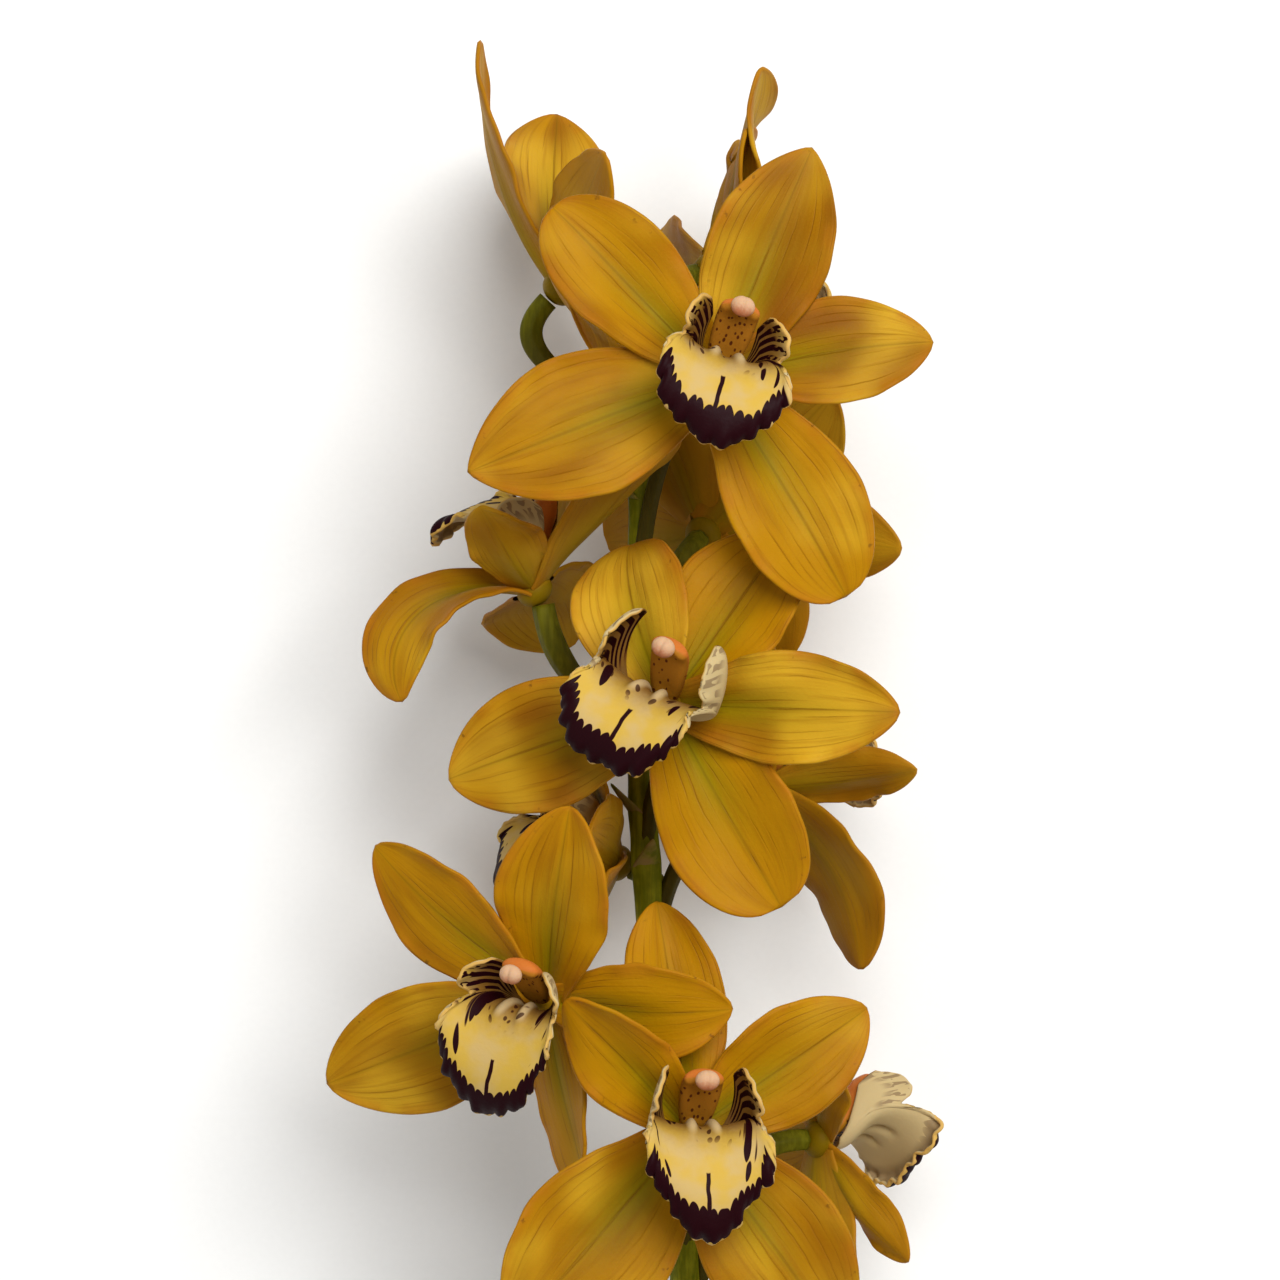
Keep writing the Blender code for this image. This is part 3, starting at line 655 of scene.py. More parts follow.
def tepal_shape(bloom, blade, chance):
    """One tepal as a closed shell, with what its colours are worked out from."""
    share = np.linspace(0, 1, BLADE_GRID[0])
    share = share * (ROW_CROWDING - (ROW_CROWDING - 1) * share)
    u, v = np.meshgrid(share, spread(BLADE_GRID[1]), indexing="ij")
    flat_u, flat_v = u.reshape(-1), v.reshape(-1)
    own = blade_points(blade, flat_u, flat_v).reshape(*u.shape, 3)
    normal = surface_normals(own)
    envelope = np.sin(np.pi * np.clip(u, 0, 1)) ** 0.6
    phase = chance.uniform(0, 2 * np.pi, 4)
    roll = np.sin(5.1 * u + 2.3 * v + phase[0]) + np.sin(3.7 * u - 3.9 * v + phase[1])
    frill = np.sin(21 * u + phase[2] + 2 * np.sign(v)) + 0.6 * np.sin(37 * u + phase[3] - np.sign(v))
    relief = UNDULATION * roll + FRILL * frill * np.abs(v) ** 4
    relief += MIDRIB_DEPTH * np.exp(-((v / MIDRIB_WIDTH) ** 2)) * (1 - u)
    relief += VALLEY_DEPTH * np.exp(-((v / VALLEY_WIDTH) ** 2)) * (1 - u**2)
    own = own + (relief * envelope)[:, :, None] * normal
    middle = to_stem(bloom, own.reshape(-1, 3))
    middle = above_floor(middle, 0.5 * BLADE_THICKNESS).reshape(*u.shape, 3)
    half = half_width(blade, flat_u).reshape(u.shape)
    margin = half * (1 - np.abs(v))
    end = blade.length * np.minimum(u + 0.02, 1 - u)
    thickness = BLADE_THICKNESS * rounded(margin, ROUND_EDGE) * rounded(end, ROUND_EDGE)
    tone = np.full(u.shape, chance.uniform())
    return closed_sheet(middle, thickness, along=u, across=v, margin=margin, tone=tone)


def everywhere(value):
    return lambda points: np.full(len(points), value)


def hub_shape(bloom):
    radii = (HUB_RADIUS, HUB_RADIUS, HUB_DEPTH)
    return ball_shape(
        lambda points: to_stem(bloom, points * radii),
        side=lambda points: np.sign(points[:, 2]),
        along=everywhere(0.0),
        across=everywhere(0.0),
        margin=everywhere(HUB_MARGIN),
        tone=everywhere(0.5),
    )


def lip_points(bloom, u, v):
    """The lip's middle surface: u from its claw out to its margin, v from -1 to 1 round it."""
    profile = np.array(LIP_PROFILE)
    share = u * smooth_between(np.abs(v), np.array(LIP_EXTENT))
    columns = (smooth_between(share, profile[:, [0, k]]) for k in range(1, profile.shape[1]))
    radius, forward, centre, floor = columns
    bulge, fullest, gone = LIP_BULGE
    swell = np.sin(np.pi * np.interp(share, (0, fullest, gone), (0, 0.5, 1)))
    side = np.interp(np.abs(v), LIP_SIDES, (0, 1))
    radius = radius + bloom.lip_cup * bulge * side * swell
    angle = np.radians(v * np.interp(share, (0, LIP_OPENING), LIP_ROUND))
    below = np.clip(np.cos(angle), 0, 1)
    above = np.clip(-np.cos(angle), 0, 1)
    hang = np.interp(share, (LIP_OPENING, 1), (1, bloom.lip_drop))
    floor = np.where(floor < 0, hang, 1) * floor
    height = centre * (1 - below) + floor * below + LIP_RISE * radius * above
    across = radius * np.sin(angle) * (1 - bloom.lip_taper * below * share**2)
    return np.column_stack([across + bloom.lip_swing * share**2, height, forward]), share


def smooth_between(x, table):
    """Values of a table at x, along a smooth curve through its rows."""
    fine = np.linspace(0, 1, 200)
    places = smooth_line(table[:, 0], fine)[:, 0]
    values = smooth_line(table[:, 1], fine)[:, 0]
    return np.interp(x, np.maximum.accumulate(places), values)


def walked(points, axis):
    """How far each point of a grid lies along its row or column, from the first."""
    step = np.linalg.norm(np.diff(points, axis=axis), axis=2)
    start = np.zeros_like(np.take(step, [0], axis=axis))
    return np.concatenate([start, np.cumsum(step, axis=axis)], axis=axis)


def lip_shape(bloom, chance):
    share_out = np.linspace(0, 1, LIP_GRID[0]) ** LIP_ROW_EASE
    u, v = np.meshgrid(share_out, np.linspace(-1, 1, LIP_GRID[1]), indexing="ij")
    points, share = lip_points(bloom, u.reshape(-1), v.reshape(-1))
    own = points.reshape(*u.shape, 3)
    share = share.reshape(u.shape)
    out = walked(own, 0)
    margin = out[-1] - out
    across = walked(own, 1)
    across -= across[:, [LIP_GRID[1] // 2]]
    edge = np.broadcast_to(across[-1], u.shape)
    normal = surface_normals(own)
    phase = chance.uniform(0, 2 * np.pi, 4)
    near = np.exp(-((margin / LIP_FRILL_REACH) ** 2)) * np.clip(1.5 - 1.3 * np.abs(v), 0.25, 1)
    middling, quick, slow = LIP_FRILL_WAVES
    frill = np.sin(middling * edge + phase[0]) + 0.8 * np.sin(quick * edge + phase[1])
    frill = frill + 0.8 * np.sin(slow * edge + phase[2])
    roll = np.sin(LIP_ROLL_WAVE * edge + phase[3]) * np.exp(-((margin / LIP_ROLL_REACH) ** 2))
    place, reach = CALLUS_OUT
    ridge = np.exp(-(((np.abs(v) - CALLUS_PLACE) / CALLUS_WIDTH) ** 2))
    ridge = ridge * np.exp(-(((share - place) / reach) ** 4))
    relief = LIP_FRILL * frill * near + LIP_ROLL * roll + CALLUS_HEIGHT * ridge
    own = own + relief[:, :, None] * normal
    middle = to_stem(bloom, own.reshape(-1, 3)).reshape(*u.shape, 3)
    side_edge = LIP_SIDE_REACH * (1 - np.abs(v)) * np.clip(share, 0.1, 1)
    thickness = LIP_THICKNESS * rounded(np.minimum(margin, side_edge), LIP_EDGE)
    thickness = thickness * rounded(out, LIP_EDGE)
    tone = np.full(u.shape, chance.uniform())
    fields = {"share": share, "margin": margin, "around": v, "across": across, "edge": edge}
    return closed_sheet(middle, thickness, **fields, callus=ridge, tone=tone)


def column_points(ball):
    """A unit ball's points drawn out along the column, in its bloom's frame."""
    share = 0.5 * (1 + ball[:, 2])
    spread_out = np.linalg.norm(ball[:, :2], axis=1)
    turn = ball[:, :2] / np.maximum(spread_out, 1e-9)[:, None]
    full = np.minimum(1.0, spread_out / COLUMN_BLUNT)
    line = smooth_line(COLUMN_LINE, share)
    ahead = smooth_line(COLUMN_LINE, share + 0.01) - smooth_line(COLUMN_LINE, share - 0.01)
    ahead /= np.linalg.norm(ahead, axis=1)[:, None]
    wide = smooth_line(COLUMN_HALF_WIDTH, share)[:, 0] * full * turn[:, 0]
    deep = smooth_line(COLUMN_HALF_DEPTH, share)[:, 0] * full * turn[:, 1]
    under = np.clip(-turn[:, 1], 0, 1)
    deep *= 1 - COLUMN_HOLLOW * under**3 * np.clip(4 * share, 0, 1)
    return np.column_stack([wide, line[:, 0] + deep * ahead[:, 1], line[:, 1] - deep * ahead[:, 0]])


def column_shape(bloom, chance):
    tone = chance.uniform()
    return ball_shape(
        lambda points: to_stem(bloom, column_points(points)),
        share=lambda points: 0.5 * (1 + points[:, 2]),
        under=lambda points: -points[:, 1] / np.maximum(np.hypot(points[:, 0], points[:, 1]), 1e-6),
        across=lambda points: column_points(points)[:, 0],
        tone=everywhere(tone),
    )


def cap_points(ball):
    """The anther cap, a rounded knob with a shallow cleft down its middle."""
    cleft = CAP_CLEFT * np.exp(-((ball[:, 0] / CAP_CLEFT_WIDTH) ** 2))
    cleft = 1 - cleft * np.clip(ball[:, 2] + 0.3, 0, 1)
    return CAP_CENTRE + ball * CAP_RADII * cleft[:, None]


def cap_shape(bloom):
    return ball_shape(
        lambda points: to_stem(bloom, cap_points(points)),
        height=lambda points: points[:, 1],
    )


def scape_shapes(chance):
    """The scape's trunk, and each bloom's pedicel and bract."""
    share = np.linspace(0, 1, SCAPE_STEPS)
    line = smooth_line(SCAPE_LINE, share)
    radii = smooth_line(SCAPE_RADIUS, share)[:, 0]
    swell = np.zeros(len(share))
    for bloom in BLOOMS.values():
        swell += np.exp(-(((line[:, 1] - bloom.root + SWELL_BELOW) / SWELL_REACH) ** 2))
    radii = radii + SCAPE_SWELL * np.minimum(swell, 1)
    full_line, full_radii = capped(line, radii, *SCAPE_ENDS)
    before, after = (len(rings) for rings in SCAPE_ENDS)
    cut = np.concatenate([np.ones(before), np.zeros(len(line) + after)])
    young = np.concatenate([np.zeros(before), share, np.ones(after)])

    def ribs(count, depth):
        phase = chance.uniform(0, 2 * np.pi)
        return lambda share, turn: 1 + depth * np.cos(count * turn + phase + 0 * share)

    wave = ribs(SCAPE_RIBS, SCAPE_RIB_DEPTH)
    shapes = [stem_tube(full_line, full_radii, SCAPE_SIDES, wave, cut, young, TRUNK)]
    for bloom in BLOOMS.values():
        control = pedicel_line(bloom)
        share = np.linspace(0, 1, len(control))
        radii = smooth_line(PEDICEL_RADIUS, share)[:, 0]
        thicker, reach = PEDICEL_FOOT
        radii = radii + thicker * np.exp(-((share / reach) ** 2))
        ends_line, ends_radii = capped(control, radii, *PEDICEL_ENDS)
        none = np.zeros(len(ends_line))
        grown = np.concatenate([[0.0], share, [1.0, 1.0]])
        wave = ribs(PEDICEL_RIBS, RIB_DEPTH)
        shapes.append(stem_tube(ends_line, ends_radii, PEDICEL_SIDES, wave, none, grown, PEDICEL))
        shapes.append(bract_shape(bloom))
    return shapes


def capped(line, radii, start, end):
    """The line and radii with rings added at both ends, which close a tube over them."""
    ahead = unit(line[1] - line[0])
    onward = unit(line[-1] - line[-2])
    before = line[0] - ahead * END_STEP * np.arange(len(start), 0, -1)[:, None]
    after = line[-1] + onward * END_STEP * np.arange(1, len(end) + 1)[:, None]
    rings = [radii[0] * np.array(start), radii, radii[-1] * np.array(end)]
    return np.vstack([before, line, after]), np.concatenate(rings)


def stem_tube(line, radii, sides, wave, cut, young, kind):
    kinds = np.full(len(line), kind)
    spot = np.clip(radii / np.max(radii), 0, 1)
    shape = tube_shape(line, radii, sides, wave, cut=cut, young=young, kind=kinds, ring=spot)
    shape.points[:, 2] = np.maximum(shape.points[:, 2], FLOOR)
    return shape


def bract_shape(bloom):
    u, v = np.meshgrid(np.linspace(0, 1, BRACT_GRID[0]), spread(BRACT_GRID[1]), indexing="ij")
    middle = bract_points(bloom, u.reshape(-1), v.reshape(-1)).reshape(*u.shape, 3)
    half = 0.5 * BRACT_WIDTH * (1 - u) ** BRACT_TAPER
    edge = rounded(half * (1 - np.abs(v)), BRACT_EDGE) * rounded(BRACT_LENGTH * (1 - u), BRACT_EDGE)
    edge = edge * rounded(BRACT_LENGTH * u, BRACT_EDGE)
    flat = np.zeros(u.shape)
    fields = {"cut": flat, "young": u, "kind": flat + BRACT, "ring": flat + 1.0}
    shape = closed_sheet(middle, BRACT_THICKNESS * edge, **fields)
    del shape.fields["side"]
    return shape


class Field:
    """A value in a material's node graph. Arithmetic on it adds the nodes that work it out."""

    def __init__(self, graph, socket):
        self.graph = graph
        self.socket = socket

    def __add__(self, other):
        return self.graph.math("ADD", self, other)

    def __sub__(self, other):
        return self.graph.math("SUBTRACT", self, other)

    def __rsub__(self, other):
        return self.graph.math("SUBTRACT", other, self)

    def __mul__(self, other):
        return self.graph.math("MULTIPLY", self, other)

    def __pow__(self, other):
        return self.graph.math("POWER", self, other)

    def __abs__(self):
        return self.graph.math("ABSOLUTE", self)

    __radd__ = __add__


class Graph:
    """A material built from formulas over the values stored at a mesh's points."""

    def __init__(self, name):
        self.material = bpy.data.materials.new(name)
        self.material.use_nodes = True
        self.tree = self.material.node_tree
        self.shader = self.tree.nodes["Principled BSDF"]
        self.points = self.node("TexCoord").outputs["Object"]

    def node(self, kind):
        return self.tree.nodes.new("ShaderNode" + kind)

    def put(self, socket, value):
        if isinstance(value, Field):
            self.tree.links.new(value.socket, socket)
        elif isinstance(value, bpy.types.NodeSocket):
            self.tree.links.new(value, socket)
        else:
            socket.default_value = value

    def math(self, operation, first, second=None):
        node = self.node("Math")
        node.operation = operation
        for socket, value in zip(node.inputs, (first, second)):
            if value is not None:
                self.put(socket, value)
        return Field(self, node.outputs[0])

    def value(self, name):
        node = self.node("Attribute")
        node.attribute_name = name
        return Field(self, node.outputs["Fac"])

    def values(self, *names):
        return [self.value(name) for name in names]

    def vector(self, x, y, z):
        node = self.node("CombineXYZ")
        for socket, value in zip(node.inputs, (x, y, z)):
            self.put(socket, value)
        return node.outputs[0]

    def stretched(self, across, along):
        """The point's place, in steps of these sizes in millimetres across and along the stem."""
        node = self.node("VectorMath")
        node.operation = "MULTIPLY"
        self.put(node.inputs[0], self.points)
        node.inputs[1].default_value = (1 / (across * MM), 1 / (along * MM), 1 / (across * MM))
        return node.outputs[0]

    def noise(self, size=None, vector=None, detail=2.0):
        """Smooth noise round 0.5, its features about size millimetres across."""
        node = self.node("TexNoise")
        self.put(node.inputs["Vector"], self.points if vector is None else vector)
        node.inputs["Scale"].default_value = 1.0 if size is None else 1 / (size * MM)
        node.inputs["Detail"].default_value = detail
        return Field(self, node.outputs["Fac"])

    def noise_at(self, x, y, z, detail=2.0):
        return self.noise(vector=self.vector(x, y, z), detail=detail)

    def spots(self, vector, scale, randomness=1.0):
        """The distance to the nearest of scattered points."""
        node = self.node("TexVoronoi")
        self.put(node.inputs["Vector"], vector)
        node.inputs["Scale"].default_value = scale
        node.inputs["Randomness"].default_value = randomness
        return Field(self, node.outputs["Distance"])

    def rise(self, value, low, high):
        """0 below low, 1 above high, smooth between."""
        node = self.node("MapRange")
        node.interpolation_type = "SMOOTHSTEP"
        self.put(node.inputs["Value"], value)
        self.put(node.inputs["From Min"], low)
        self.put(node.inputs["From Max"], high)
        return Field(self, node.outputs["Result"])

    def fall(self, value, low, high):
        return 1.0 - self.rise(value, low, high)

    def mix(self, first, second, share):
        """A colour share of the way from first to second."""
        node = self.node("Mix")
        node.data_type = "RGBA"
        colours = [socket for socket in node.inputs if socket.type == "RGBA"]
        for socket, colour in zip(colours, (first, second)):
            self.put(socket, colour if isinstance(colour, bpy.types.NodeSocket) else (*colour, 1.0))
        self.put(node.inputs["Factor"], share)
        return next(socket for socket in node.outputs if socket.type == "RGBA")

    def bump(self, height, distance):
        node = self.node("Bump")
        node.inputs["Distance"].default_value = distance * MM
        self.put(node.inputs["Height"], height)
        self.tree.links.new(node.outputs[0], self.shader.inputs["Normal"])

    def finish(self, colour, roughness, soft=0.0):
        self.put(self.shader.inputs["Base Color"], colour)
        self.put(self.shader.inputs["Roughness"], roughness)
        self.shader.inputs["Specular IOR Level"].default_value = SHINE
        self.shader.inputs["Subsurface Weight"].default_value = soft
        self.shader.inputs["Subsurface Radius"].default_value = SOFT_RADIUS
        self.shader.inputs["Subsurface Scale"].default_value = SOFT_DEPTH * MM
        return self.material


def srgb(red, green, blue):
    """A colour given as it looks on a screen, 0 to 255, as the shader's linear values."""
    share = np.array([red, green, blue]) / 255
    linear = np.where(share <= 0.04045, share / 12.92, ((share + 0.055) / 1.055) ** 2.4)
    return tuple(float(value) for value in linear)


SHINE = 0.07
SOFT_RADIUS = (1.0, 0.5, 0.15)  # how far light wanders inside, for red, green and blue
SOFT_DEPTH = 1.5
ROUGH_SPREAD = 0.2  # how much the grain changes the roughness

GOLD = srgb(172, 120, 1)
AMBER = srgb(130, 78, 1)
# PALE is partly the tepals' own paler yellow and partly painted highlight.
PALE = srgb(202, 158, 34)
OLIVE = srgb(132, 116, 2)
PEACH = srgb(168, 100, 16)
VEIN = srgb(92, 42, 2)
BROWN = srgb(84, 50, 12)
BACK = srgb(160, 114, 14)
CREAM = srgb(198, 162, 66)
WHITE = srgb(190, 164, 118)
MAROON = srgb(32, 2, 7)
MAROON_EDGE = srgb(66, 8, 12)
# The throat's own tan, deepened by painted shade.
THROAT_TAN_AND_SHADE = srgb(112, 72, 26)
LIP_MARGIN = srgb(208, 164, 88)
LIP_OUTSIDE = srgb(192, 170, 122)
SALMON = srgb(192, 108, 42)
TAN = srgb(168, 108, 28)
CAP_WHITE = srgb(200, 160, 124)
CAP_PINK = srgb(178, 110, 74)
GREEN = srgb(104, 106, 5)
GREEN_LIGHT = srgb(140, 138, 22)
PEDICEL_DARK = srgb(66, 54, 14)
BRACT_DRY = srgb(150, 126, 70)
CUT_PALE = srgb(206, 208, 150)
PAPER = srgb(246, 246, 244)
PAPER_SHADE = srgb(242, 242, 240)

VEINS = 7.3  # from a tepal's midrib to its margin
BLUSH_WIDTH = 4.5  # how far the orange reaches in from its margin

BAND_WIDTH = 8.0  # the lip's dark band, at its middle
BAND_NARROWING = 7.5
BAND_DRIFT = 6.0
BAND_SCALLOP = 1.5
BAND_RIM = 0.35  # the pale rim outside it
BAND_NIBBLE = 1.3
BAND_END = 0.52  # how far round the lip it goes
LINE_HALF_WIDTH = 0.42
LINE_SPAN = (6.0, 16.5)  # where the middle line starts and ends, from the margin
STRIPES = 86.0  # radians of stripes round each half of the lip


def tepal_material():
    graph = Graph("tepals")
    along, across, margin, side, tone = graph.values("along", "across", "margin", "side", "tone")
    mottle = graph.noise(7.0, detail=3.0)
    grain = graph.noise(0.9, detail=3.0)
    shift = tone * 17.0
    streaks = graph.noise_at(across * 13.0, along * 2.2, shift, detail=4.0)
    wide = graph.noise_at(across * 1.8, along * 1.5, shift, detail=2.0)
    away = abs(across)
    colour = graph.mix(GOLD, AMBER, graph.rise(wide * 0.8 + tone * 0.4, 0.4, 0.85))
    # Paler patches: partly the tepals' own paler yellow, partly painted highlight standing in for
    # their soft gloss and lit areas.
    pale_and_highlight = graph.noise(22.0, detail=1.0) + (tone - 0.5) * 0.4
    colour = graph.mix(colour, PALE, graph.rise(pale_and_highlight, 0.42, 0.78) * 0.8)
    centre = graph.fall(along, 0.15, 0.85) * graph.fall(away, 0.05, 0.6)
    rib = graph.fall(away, 0.0, 0.09)
    colour = graph.mix(colour, OLIVE, centre * 0.8 + rib * 0.2)
    colour = graph.mix(colour, VEIN, graph.fall(away, 0.01, 0.035) * 0.22)
    edge = graph.fall(margin, 0.2, BLUSH_WIDTH)
    colour = graph.mix(colour, PEACH, edge * graph.rise(mottle, 0.3, 0.7) * 0.65)
    bend = (graph.noise(11.0, detail=2.0) - 0.5) * 0.7
    lines = abs(graph.math("SINE", (away * VEINS + bend) * np.pi))
    vein = graph.fall(lines, 0.0, 0.38) * graph.rise(streaks, 0.4, 0.66)
    vein = vein * graph.rise(along, 0.02, 0.15) * graph.fall(along, 0.75, 1.0)
    colour = graph.mix(colour, VEIN, vein * 0.32)
    colour = graph.mix(colour, AMBER, graph.rise(streaks, 0.45, 0.75) * 0.35)
    blemish = graph.rise(graph.noise(2.6, detail=4.0), 0.66, 0.73) * graph.rise(edge, 0.2, 0.9)
    colour = graph.mix(colour, BROWN, blemish * 0.6)
    colour = graph.mix(colour, BACK, graph.rise(side, -0.5, 0.5) * 0.4)
    graph.bump(vein * -0.6 + grain * 0.5 + streaks * 0.6, 0.14)
    return graph.finish(colour, 0.42 + grain * ROUGH_SPREAD, soft=0.08)


def lip_material():
    """Cream, with a scalloped dark band, a line down its middle, striped side lobes, blotches."""
    graph = Graph("lip")
    share, margin, around, across, edge, side, tone = graph.values(
        "share", "margin", "around", "across", "edge", "side", "tone"
    )
    away = abs(around)
    shift = tone * 23.0
    grain = graph.noise(0.8, detail=3.0)

    # The dark band along the midlobe's margin, scalloped on its inner side.
    drift = graph.noise_at(edge * 0.16, 3.0, shift, detail=1.0)
    place = edge * 0.42 + (graph.noise_at(edge * 0.2, 9.0, shift) - 0.5) * 1.2
    scallop = abs(graph.math("SINE", place * np.pi)) ** 0.6
    inner = BAND_WIDTH - away * BAND_NARROWING + (drift - 0.5) * BAND_DRIFT
    inner = inner + scallop * BAND_SCALLOP
    nibble = graph.noise_at(edge * 0.55, 5.0, shift, detail=1.0)
    outer = BAND_RIM + graph.rise(nibble, 0.42, 0.78) * BAND_NIBBLE
    end = BAND_END + (drift - 0.5) * 0.05
    midlobe = graph.fall(away - end, 0.0, 0.006)
    band = graph.rise(margin - outer, 0.0, 0.18) * graph.fall(margin - inner, -0.12, 0.12)
    band = band * midlobe

    # The line down its middle.
    first, last = LINE_SPAN
    wander = (graph.noise(4.0, detail=1.0) - 0.5) * 0.9
    line = graph.fall(abs(across + wander), LINE_HALF_WIDTH, LINE_HALF_WIDTH + 0.14)
    line = line * graph.rise(margin, first, first + 0.3)
    line = line * graph.fall(margin, last, last + 0.4)

    # The stripes of its side lobes, broken up near their margin.
    ear = graph.rise(away + (0.55 - share) * 0.35, 0.58, 0.61)
    sway = graph.noise_at(around * 7.0, margin * 0.12, shift, detail=1.0)
    stripes = graph.math("SINE", (away + (sway - 0.5) * 0.05) * STRIPES)
    bold = graph.rise(share, 0.1, 0.5) * 0.5
    stripes = graph.rise(stripes + bold, 0.0, 0.22) * graph.rise(share, 0.16, 0.22)
    breaks = graph.noise_at(around * 40.0, margin * 0.55, shift, detail=0.0)
    breaks = graph.rise(breaks, 0.52, 0.56) * graph.fall(margin, 3.5, 6.0)
    stripes = stripes * (1.0 - breaks) * graph.rise(margin, 0.45, 0.65) * ear

    # Blotches between the midlobe and the side lobes, and small flecks in the throat.
    blotch = graph.spots(graph.vector(across * 0.26, margin * 0.17, shift), 1.0, 0.7)
    zone = graph.rise(away, 0.22, 0.32) * graph.fall(away, 0.6, 0.7)
    zone = zone * graph.rise(margin, 6.0, 9.0)
    blotch = graph.fall(blotch + (1.0 - zone), 0.38, 0.42) * graph.rise(margin, 0.7, 0.9)
    blotch = blotch * graph.rise(share, 0.25, 0.3)
    flecks = graph.spots(graph.vector(across * 0.42, margin * 0.4, shift), 1.0, 0.9)
    flecks = graph.fall(flecks, 0.24, 0.3) * graph.fall(share, 0.55, 0.62)
    flecks = flecks * graph.rise(share, 0.18, 0.2) * graph.fall(away, 0.5, 0.6)

    # The ground colour, darker in the throat where painted shade deepens its own tan, with pale ridges
    # and margin, and the marks on it.
    throat = graph.fall(share + (grain - 0.5) * 0.04, 0.42, 0.68)
    colour = graph.mix(CREAM, WHITE, graph.rise(graph.noise(6.0), 0.35, 0.7) * 0.6)
    colour = graph.mix(colour, THROAT_TAN_AND_SHADE, throat * 0.9)
    pad = graph.rise(graph.value("callus"), 0.25, 0.8)
    colour = graph.mix(colour, WHITE, pad * 0.8)
    colour = graph.mix(colour, LIP_MARGIN, graph.fall(margin, 0.3, 1.6) * 0.7)
    mark = graph.math("MAXIMUM", band, line)
    mark = graph.math("MAXIMUM", mark, stripes)
    mark = graph.math("MAXIMUM", mark, graph.math("MAXIMUM", blotch, flecks * 0.85))
    inside = graph.rise(side, -0.5, 0.5)
    colour = graph.mix(LIP_OUTSIDE, colour, inside)
    faint = graph.rise(margin, 0.4, 1.0) * graph.fall(margin, 4.0, 7.5) * 0.5
    shown = mark * (faint + inside * (1.0 - faint))
    deep = graph.mix(MAROON_EDGE, MAROON, graph.rise(shown, 0.6, 1.0))
    colour = graph.mix(colour, deep, shown)
    graph.bump(grain * 0.4 + drift * 0.5 + shown * 0.3, 0.15)
    return graph.finish(colour, 0.42 + grain * ROUGH_SPREAD, soft=0.05)


def column_material():
    graph = Graph("column")
    share, under, across, tone = graph.values("share", "under", "across", "tone")
    grain = graph.noise(0.8, detail=3.0)
    below = graph.rise(under, -0.2, 0.3)
    colour = graph.mix(SALMON, TAN, below)
    colour = graph.mix(colour, BACK, graph.fall(share, 0.05, 0.45) * 0.4)
    rows = graph.spots(graph.vector(across * 0.75, share * 9.0, tone * 11.0), 1.0, 0.75)
    dash = graph.fall(rows, 0.22, 0.28) * below * graph.rise(share, 0.08, 0.15)
    dash = dash * graph.fall(share, 0.84, 0.9)
    colour = graph.mix(colour, MAROON_EDGE, dash * 0.85)
    graph.bump(grain, 0.08)
    return graph.finish(colour, 0.4 + grain * ROUGH_SPREAD, soft=0.1)


def cap_material():
    graph = Graph("anther_cap")
    height = graph.value("height")
    grain = graph.noise(0.6, detail=3.0)
    colour = graph.mix(CAP_PINK, CAP_WHITE, graph.rise(height + (grain - 0.5) * 0.8, -0.9, 0.3))
    graph.bump(grain, 0.08)
    return graph.finish(colour, 0.35 + grain * ROUGH_SPREAD, soft=0.15)


def scape_material():
    graph = Graph("scape")
    cut, young, kind, ring = graph.values("cut", "young", "kind", "ring")
    mottle = graph.noise(5.0, detail=4.0)
    streaks = graph.noise(vector=graph.stretched(0.9, 14.0), detail=3.0)
    grain = graph.noise(0.7, detail=3.0)
    colour = graph.mix(GREEN, GREEN_LIGHT, graph.rise(mottle * 0.5 + streaks * 0.5, 0.38, 0.66))
    pedicel = graph.rise(kind, 0.3, 0.7) * graph.fall(kind, 1.3, 1.7)
    colour = graph.mix(colour, PEDICEL_DARK, pedicel * (0.9 - graph.rise(young, 0.5, 1.0) * 0.45))
    colour = graph.mix(colour, BRACT_DRY, graph.rise(kind, 1.4, 1.8) * graph.rise(mottle, 0.3, 0.6))
    flesh = graph.mix(CUT_PALE, GREEN_LIGHT, graph.rise(ring, 0.75, 0.95))
    pores = graph.fall(graph.spots(graph.points, 900.0), 0.15, 0.3)
    flesh = graph.mix(flesh, GREEN, pores * 0.5)
    colour = graph.mix(colour, flesh, cut)
    graph.bump(streaks + grain * 0.4, 0.15)
    return graph.finish(colour, 0.42 + grain * ROUGH_SPREAD, soft=0.05)


def floor_material():
    graph = Graph("floor")
    paper = graph.noise(1.5, detail=4.0)
    colour = graph.mix(PAPER, PAPER_SHADE, paper)
    graph.bump(paper, 0.02)
    return graph.finish(colour, 0.8 + paper * 0.1)


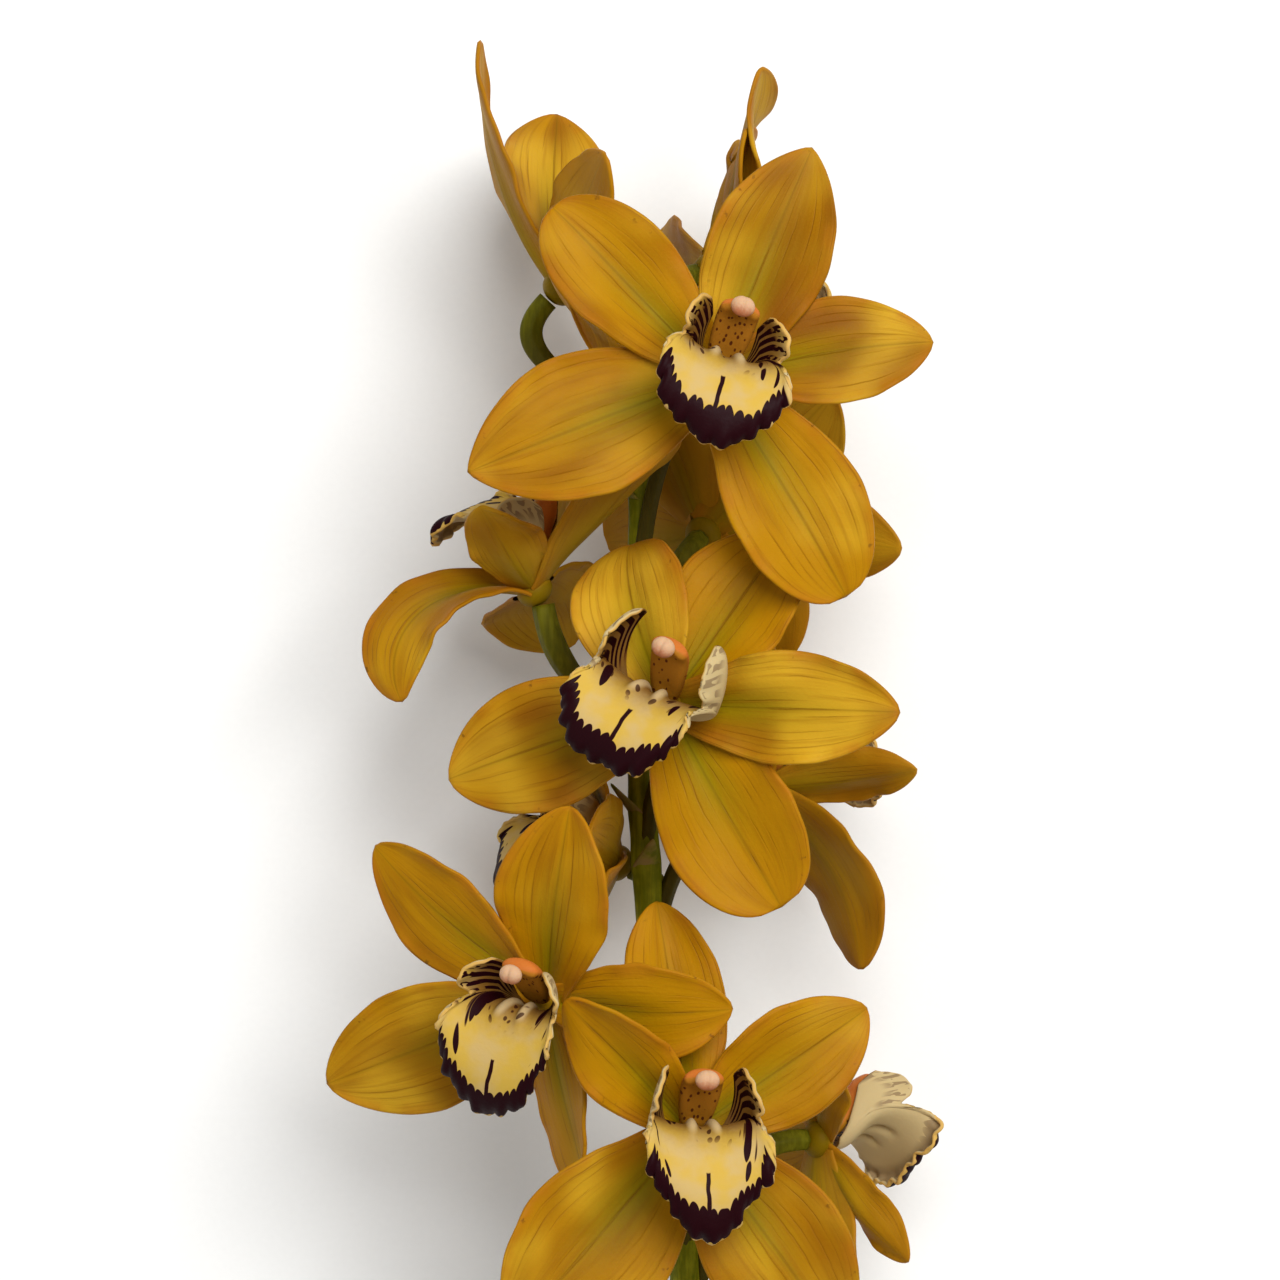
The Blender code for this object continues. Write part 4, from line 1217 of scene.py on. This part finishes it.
def make_floor():
    mesh = bpy.data.meshes.new("floor")
    turns = ((-1, -1), (1, -1), (1, 1), (-1, 1))
    corners = [(FLOOR_HALF * x, FLOOR_HALF * y, 0) for x, y in turns]
    mesh.from_pydata(corners, [], [(0, 1, 2, 3)])
    mesh.materials.append(floor_material())
    floor = add_object("floor", mesh)
    floor.location.z = FLOOR * MM - FLOOR_GAP


def make_light(name, place, size, power):
    """A soft square lamp at place, in metres, that faces the blooms."""
    lamp = bpy.data.lights.new(name, "AREA")
    lamp.shape = "SQUARE"
    lamp.size = size
    lamp.energy = power
    item = add_object(name, lamp)
    item.location = place
    target = Vector((VIEW_CENTRE[0] * MM, VIEW_CENTRE[1] * MM, LIGHT_TARGET_HEIGHT))
    item.rotation_euler = (target - item.location).to_track_quat("-Z", "Y").to_euler()


def make_studio():
    scene = bpy.context.scene
    world = bpy.data.worlds.new("studio")
    world.use_nodes = True
    sky = world.node_tree.nodes["Background"]
    sky.inputs["Color"].default_value = (1.0, 1.0, 1.0, 1.0)
    sky.inputs["Strength"].default_value = SKY_STRENGTH
    scene.world = world
    scene.view_settings.view_transform = "Standard"
    make_light(*KEY_LIGHT)
    make_light(*FILL_LIGHT)
    make_floor()


def make_camera():
    lens = bpy.data.cameras.new("camera")
    lens.sensor_width = SENSOR
    lens.lens = SENSOR * VIEW_DISTANCE / VIEW_WIDTH
    lens.clip_start = 0.1
    camera = add_object("camera", lens)
    camera.location = (*(value * MM for value in VIEW_CENTRE), (VIEW_PLANE + VIEW_DISTANCE) * MM)
    bpy.context.scene.camera = camera


def main():
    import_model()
    make_camera()
    make_studio()
    materials = {
        "tepals": tepal_material(),
        "lip": lip_material(),
        "column": column_material(),
        "anther_cap": cap_material(),
        "scape": scape_material(),
    }
    chance = np.random.default_rng(SEED)
    make_piece("scape_fine", scape_shapes(chance), materials["scape"], "scape")
    for name, bloom in BLOOMS.items():
        blades = [tepal_shape(bloom, blade, chance) for blade in blades_of(bloom).values()]
        shapes = {
            "tepals": [hub_shape(bloom), *blades],
            "lip": [lip_shape(bloom, chance)],
            "column": [column_shape(bloom, chance)],
            "anther_cap": [cap_shape(bloom)],
        }
        for kind, parts in shapes.items():
            node = f"{name}_{kind}"
            make_piece(node + "_fine", parts, materials[kind], node)


main()
